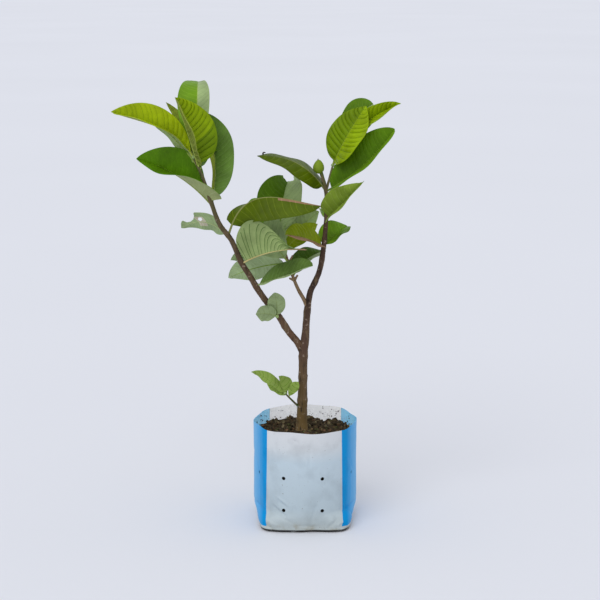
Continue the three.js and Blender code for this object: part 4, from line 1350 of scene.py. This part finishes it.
class GUAVA_OT_bag(bpy.types.Operator):
    """The grow bag's white film and blue side panels, creased and punched"""

    bl_idname = "guava.bag"
    bl_label = "Grow bag"

    def execute(self, context):
        settings = context.scene.guava_bag
        white, blue = tuple(settings.white), tuple(settings.blue)
        outsides = [white_film("bag_white", white), blue_film("bag_blue_left", blue),
                    blue_film("bag_blue_right", blue)]
        # Each outside's lining, and its piece's name, slot and node.
        panels = {
            outsides[0]: (film_lining("lining_white", WHITE_LINING),
                          "film_bag", "film_white", "grow_bag"),
            outsides[1]: (film_lining("lining_blue_left", BLUE_LINING),
                          "film_side_left", "film_blue", "blue_panel_left"),
            outsides[2]: (film_lining("lining_blue_right", BLUE_LINING),
                          "film_side_right", "film_blue", "blue_panel_right"),
        }
        sheet = film_sheet(settings, outsides)
        in_edit_mode(sheet, (bpy.ops.mesh.separate, {"type": "MATERIAL"}))
        for piece in list(bpy.context.selected_objects):
            mesh = piece.data
            outside = mesh.materials[mesh.polygons[0].material_index]
            lining, piece.name, slot, node = panels[outside]
            mesh.materials.clear()
            mesh.materials.append(outside)
            mesh.materials.append(lining)
            mesh.polygons.foreach_set("material_index", np.zeros(len(mesh.polygons), int))
            apply_modifier(piece, "SOLIDIFY", thickness=settings.film, offset=-1,
                           material_offset=1, use_even_offset=False)
            punch_holes(piece)
            smooth(piece, FILM_CREASE)
            finish_piece(piece, slot, node)
        return {"FINISHED"}


# ---------------------------------------------------------------- the soil
SOIL_COLUMNS = 120
SOIL_TOP_ROWS = 56
SOIL_WALL_ROWS = 24
SOIL_FOOT = 2.2 * MM
WALL_CLEAR = (0.9 * MM, 2.4 * MM)  # from the film, at the soil's top and lower down
CLEAR_BELOW = 9 * MM
MOUND_AT = (18 * MM, 22 * MM)
MOUND_HALF = (15 * MM, 16 * MM)
MOUND_HEIGHT = 4.5 * MM
HEAP_HEIGHT = 1.9 * MM
LEVEL_AROUND_STEM = (8 * MM, 22 * MM)  # distances between which the heaps and the mound rise
CRUMB_KINDS = 6
CRUMB_SIDES = (1, 0.85, 0.7)
CRUMBS_INSIDE = 3.5 * MM  # how far from the bag's wall they lie, and
CRUMBS_OFF_STEM = 8.5 * MM  # how far from the stem's middle
LEAST_CRUMB = 0.14  # share of the largest
SPLASHES = 130
SPLASH_RISE = 5 * MM
SPLASH_TOP = BAG_HEIGHT - 3 * MM


def soil_height(x, y):
    """Height of the soil's top: soft heaps, a mound behind the stem to its right, and clods."""
    heaps = HEAP_HEIGHT * (np.sin(230 * x + 80 * y + 1.3) + np.sin(420 * x - 340 * y + 2))
    mound = MOUND_HEIGHT * np.exp(-(((x - MOUND_AT[0]) / MOUND_HALF[0]) ** 2
                                    + ((y - MOUND_AT[1]) / MOUND_HALF[1]) ** 2))
    clods = np.array([
        2.2 * noise.noise(Vector((a, b, 0.3)) * 75) + 1.3 * abs(noise.noise(Vector((a, b, 2)) * 190))
        + 0.6 * noise.noise(Vector((a, b, 5)) * 420) for a, b in zip(x, y)]) * MM
    stem = smoothstep(from_stem(x, y), *LEVEL_AROUND_STEM)
    return SOIL_TOP + stem * (heaps + mound) + clods


def from_stem(x, y):
    return np.hypot(x - STEM_FOOT[0], y - STEM_FOOT[1])


def soil_material(name, colour):
    """Dull earth with dark and pale clods."""
    surface = Surface(name, roughness=0.95, specular=0.2)
    clods = surface.noise(240, detail=6, roughness=0.7)
    surface.colour(surface.ramp(
        clods, shades(colour, (0.3, 0.35), (0.5, 1), (0.64, 2.2), (0.78, 4.2))))
    surface.bump(surface.noise(800, detail=6, roughness=0.7), distance=0.8 * MM, strength=0.9)
    return surface.material


def crumb_shapes():
    """The kinds of lump, each a ball pushed in and out."""
    shapes = []
    for number in range(CRUMB_KINDS):
        deselect()
        bpy.ops.mesh.primitive_ico_sphere_add(subdivisions=2, radius=1)
        ball = bpy.context.object
        points = np.array([v.co * (1 + 0.5 * noise.noise(v.co * 1.3 + Vector((7 * number, 3, 1))))
                           for v in ball.data.vertices])
        faces = np.array([list(f.vertices) for f in ball.data.polygons])
        shapes.append((points * CRUMB_SIDES, faces))
        bpy.data.objects.remove(ball)
    return shapes


def scattered(name, places, sizes, shapes, materials, seed):
    """Many lumps as one mesh, each turned its own way and in one of the materials."""
    rng = np.random.default_rng(seed)
    points, faces, slots, start = [], [], [], 0
    for place, size in zip(places, sizes):
        shape, triangles = shapes[rng.integers(len(shapes))]
        turn, _ = np.linalg.qr(rng.normal(size=(3, 3)))
        if np.linalg.det(turn) < 0:
            turn[:, 0] *= -1
        points.append(shape @ turn.T * size + place)
        faces.append(triangles + start)
        slots += [rng.integers(len(materials))] * len(triangles)
        start += len(shape)
    mesh = bpy.data.meshes.new(name)
    mesh.from_pydata(np.vstack(points).tolist(), [], np.vstack(faces).tolist())
    for material in materials:
        mesh.materials.append(material)
    mesh.polygons.foreach_set("material_index", np.array(slots, int))
    mesh.update()
    obj = bpy.data.objects.new(name, mesh)
    bpy.context.scene.collection.objects.link(obj)
    smooth(obj)
    return obj


def soil_bed(wrinkle, earth, side_shade):
    """The soil as one closed body: its lumpy top, and its side just inside the wrinkled film, in
    painted shade.
    """
    radii = np.concatenate([np.linspace(1, 0, SOIL_TOP_ROWS + 1)[::-1],
                            np.ones(SOIL_WALL_ROWS), [0]])
    levels = np.concatenate([np.ones(SOIL_TOP_ROWS + 1),
                             np.linspace(1, 0, SOIL_WALL_ROWS + 1)[1:], [0]])

    def place(column, row):
        angle = 2 * math.pi * column / SOIL_COLUMNS
        height = SOIL_FOOT + (SOIL_TOP - SOIL_FOOT) * levels[row]
        deep = smoothstep(SOIL_TOP - height, 0, CLEAR_BELOW)
        clear = WALL_CLEAR[0] + (WALL_CLEAR[1] - WALL_CLEAR[0]) * deep
        radius = (film_radius(angle, height, wrinkle) - clear) * radii[row]
        x, y = radius * np.cos(angle), radius * np.sin(angle)
        return np.stack([x, y, np.where(levels[row] == 1, soil_height(x, y), height)], axis=1)

    def paint(column, row):
        return (row > SOIL_TOP_ROWS + 2).astype(int)

    bed = shaped_grid("soil_bed", SOIL_COLUMNS, SOIL_TOP_ROWS + SOIL_WALL_ROWS + 1, place,
                      [earth, side_shade], paint)
    weld(bed, 0.02 * MM)
    smooth(bed)
    return bed


def crumb_piece(rng, settings, shapes, materials):
    """Loose crumbs all over the soil's top, most of them small, and none against the stem."""
    count = settings.crumbs
    radius = (BAG_RADIUS - CRUMBS_INSIDE) * np.sqrt(rng.uniform(0, 1, count))
    angle = rng.uniform(0, 2 * math.pi, count)
    x, y = radius * np.cos(angle), radius * np.sin(angle)
    sizes = settings.crumb_size * rng.uniform(LEAST_CRUMB, 1, count) ** 2.2
    clear = from_stem(x, y) > CRUMBS_OFF_STEM + sizes
    places = np.stack([x, y, soil_height(x, y) + 0.2 * sizes], axis=1)[clear]
    return scattered("soil_crumbs", places, sizes[clear], shapes, materials, SEED)


def splash_piece(rng, wrinkle, shapes, materials):
    """Specks of soil on the film's inside, fewer the higher they are."""
    angle = rng.uniform(0.1, 2 * math.pi, SPLASHES)
    above = rng.exponential(SPLASH_RISE, SPLASHES) + 1 * MM
    height = np.minimum(SOIL_TOP + above, SPLASH_TOP)
    sizes = rng.uniform(0.3, 1.0, SPLASHES) * MM
    wall = film_radius(angle, height, wrinkle) - 0.4 * MM - 0.8 * sizes
    places = np.stack([wall * np.cos(angle), wall * np.sin(angle), height], axis=1)
    return scattered("soil_specks", places, sizes, shapes, materials, SEED + 1)


class GUAVA_OT_soil(bpy.types.Operator):
    """Lumpy potting soil, loose crumbs on it, and specks splashed on the film inside"""

    bl_idname = "guava.soil"
    bl_label = "Soil"

    def execute(self, context):
        settings = context.scene.guava_soil
        wrinkle = context.scene.guava_bag.wrinkle
        colour = tuple(settings.colour)
        earth = soil_material("soil_earth", colour)
        # the soil's side, seen through the drain holes and the gap at the rim, is painted
        # near-black: painted shade
        side_shade = soil_material("soil_side_shade", shade_of(colour, 0.12))
        finish_piece(soil_bed(wrinkle, earth, side_shade), "soil", "soil")

        dark = soil_material("crumb_dark", shade_of(colour, 0.8))
        brown = soil_material("crumb_brown", shade_of(colour, 2.3))
        others = [soil_material("crumb_red", (0.085, 0.048, 0.024)),
                  soil_material("crumb_tan", (0.13, 0.105, 0.055)),
                  soil_material("crumb_moss", (0.06, 0.06, 0.02))]
        rng = np.random.default_rng(SEED)
        shapes = crumb_shapes()
        finish_piece(crumb_piece(rng, settings, shapes, [dark, brown, *others]), "soil")
        finish_piece(splash_piece(rng, wrinkle, shapes, [dark, brown]), "soil")
        return {"FINISHED"}


# ---------------------------------------------------------------- the stage
CAMERA_PLACE = (-6.4 * MM, -1919.8 * MM, 690.7 * MM)
CAMERA_DOWN = 12  # degrees below level
CAMERA_LENS = 95.2
FLOOR_HALF = 120  # so wide that its edge is never seen
SKY_COLOUR = (0.915, 0.935, 1.0)
KEY_TURN = (38, -24, 0)  # from straight down, in degrees
KEY_SPREAD = 40  # degrees, which softens the shadows


class GUAVA_OT_stage(bpy.types.Operator):
    """The floor, the soft light and the camera"""

    bl_idname = "guava.stage"
    bl_label = "Stage"

    def execute(self, context):
        settings = context.scene.guava_stage
        deselect()
        bpy.ops.mesh.primitive_plane_add(size=2 * FLOOR_HALF, location=(0, 0, 0))
        floor = context.object
        floor.name = "stage_floor"
        paper = Surface("studio_floor", roughness=1.0, specular=0.0)
        colour = tuple(settings.floor_colour)
        paper.colour(paper.ramp(
            paper.noise(0.6, detail=2), shades(colour, (0.3, 0.99), (0.7, 1.01))))
        floor.data.materials.append(paper.material)

        world = bpy.data.worlds.new("studio")
        world.use_nodes = True
        backdrop = world.node_tree.nodes["Background"]
        backdrop.inputs["Color"].default_value = (*SKY_COLOUR, 1)
        backdrop.inputs["Strength"].default_value = settings.sky
        context.scene.world = world

        deselect()
        turn = [math.radians(angle) for angle in KEY_TURN]
        bpy.ops.object.light_add(type="SUN", rotation=turn)
        key = context.object
        key.name = "key_light"
        key.data.energy = settings.key
        key.data.angle = math.radians(KEY_SPREAD)

        deselect()
        bpy.ops.object.camera_add(location=CAMERA_PLACE,
                                  rotation=(math.radians(90 - CAMERA_DOWN), 0, 0))
        camera = context.object
        camera.name = "camera"
        camera.data.lens = CAMERA_LENS
        context.scene.camera = camera
        context.scene.view_settings.view_transform = "Standard"
        deselect()
        return {"FINISHED"}


# ---------------------------------------------------------------- the sidebar
OPERATORS = (GUAVA_OT_bag, GUAVA_OT_soil, GUAVA_OT_stems, GUAVA_OT_leaves, GUAVA_OT_buds,
             GUAVA_OT_stage)
SETTINGS = {
    "guava_leaf": GuavaLeafSettings,
    "guava_bark": GuavaBarkSettings,
    "guava_bag": GuavaBagSettings,
    "guava_soil": GuavaSoilSettings,
    "guava_stage": GuavaStageSettings,
}


class GUAVA_PT_sidebar(bpy.types.Panel):
    """The tree's settings and the steps that build it"""

    bl_idname = "GUAVA_PT_sidebar"
    bl_label = "Guava tree"
    bl_space_type = "VIEW_3D"
    bl_region_type = "UI"
    bl_category = "Guava"

    def draw(self, context):
        for group in SETTINGS:
            box = self.layout.box()
            values = getattr(context.scene, group)
            for name in values.bl_rna.properties.keys():
                if name not in ("rna_type", "name"):
                    box.prop(values, name)
        for operator in OPERATORS:
            self.layout.operator(operator.bl_idname)


def register():
    for group, settings in SETTINGS.items():
        bpy.utils.register_class(settings)
        setattr(bpy.types.Scene, group, bpy.props.PointerProperty(type=settings))
    for operator in OPERATORS:
        bpy.utils.register_class(operator)
    bpy.utils.register_class(GUAVA_PT_sidebar)


def unregister():
    bpy.utils.unregister_class(GUAVA_PT_sidebar)
    for operator in reversed(OPERATORS):
        bpy.utils.unregister_class(operator)
    for group, settings in SETTINGS.items():
        delattr(bpy.types.Scene, group)
        bpy.utils.unregister_class(settings)


def main():
    register()
    bpy.ops.guava.bag()
    bpy.ops.guava.soil()
    bpy.ops.guava.stems()
    bpy.ops.guava.leaves()
    bpy.ops.guava.buds()
    bpy.ops.guava.stage()


if __name__ == "__main__":
    main()
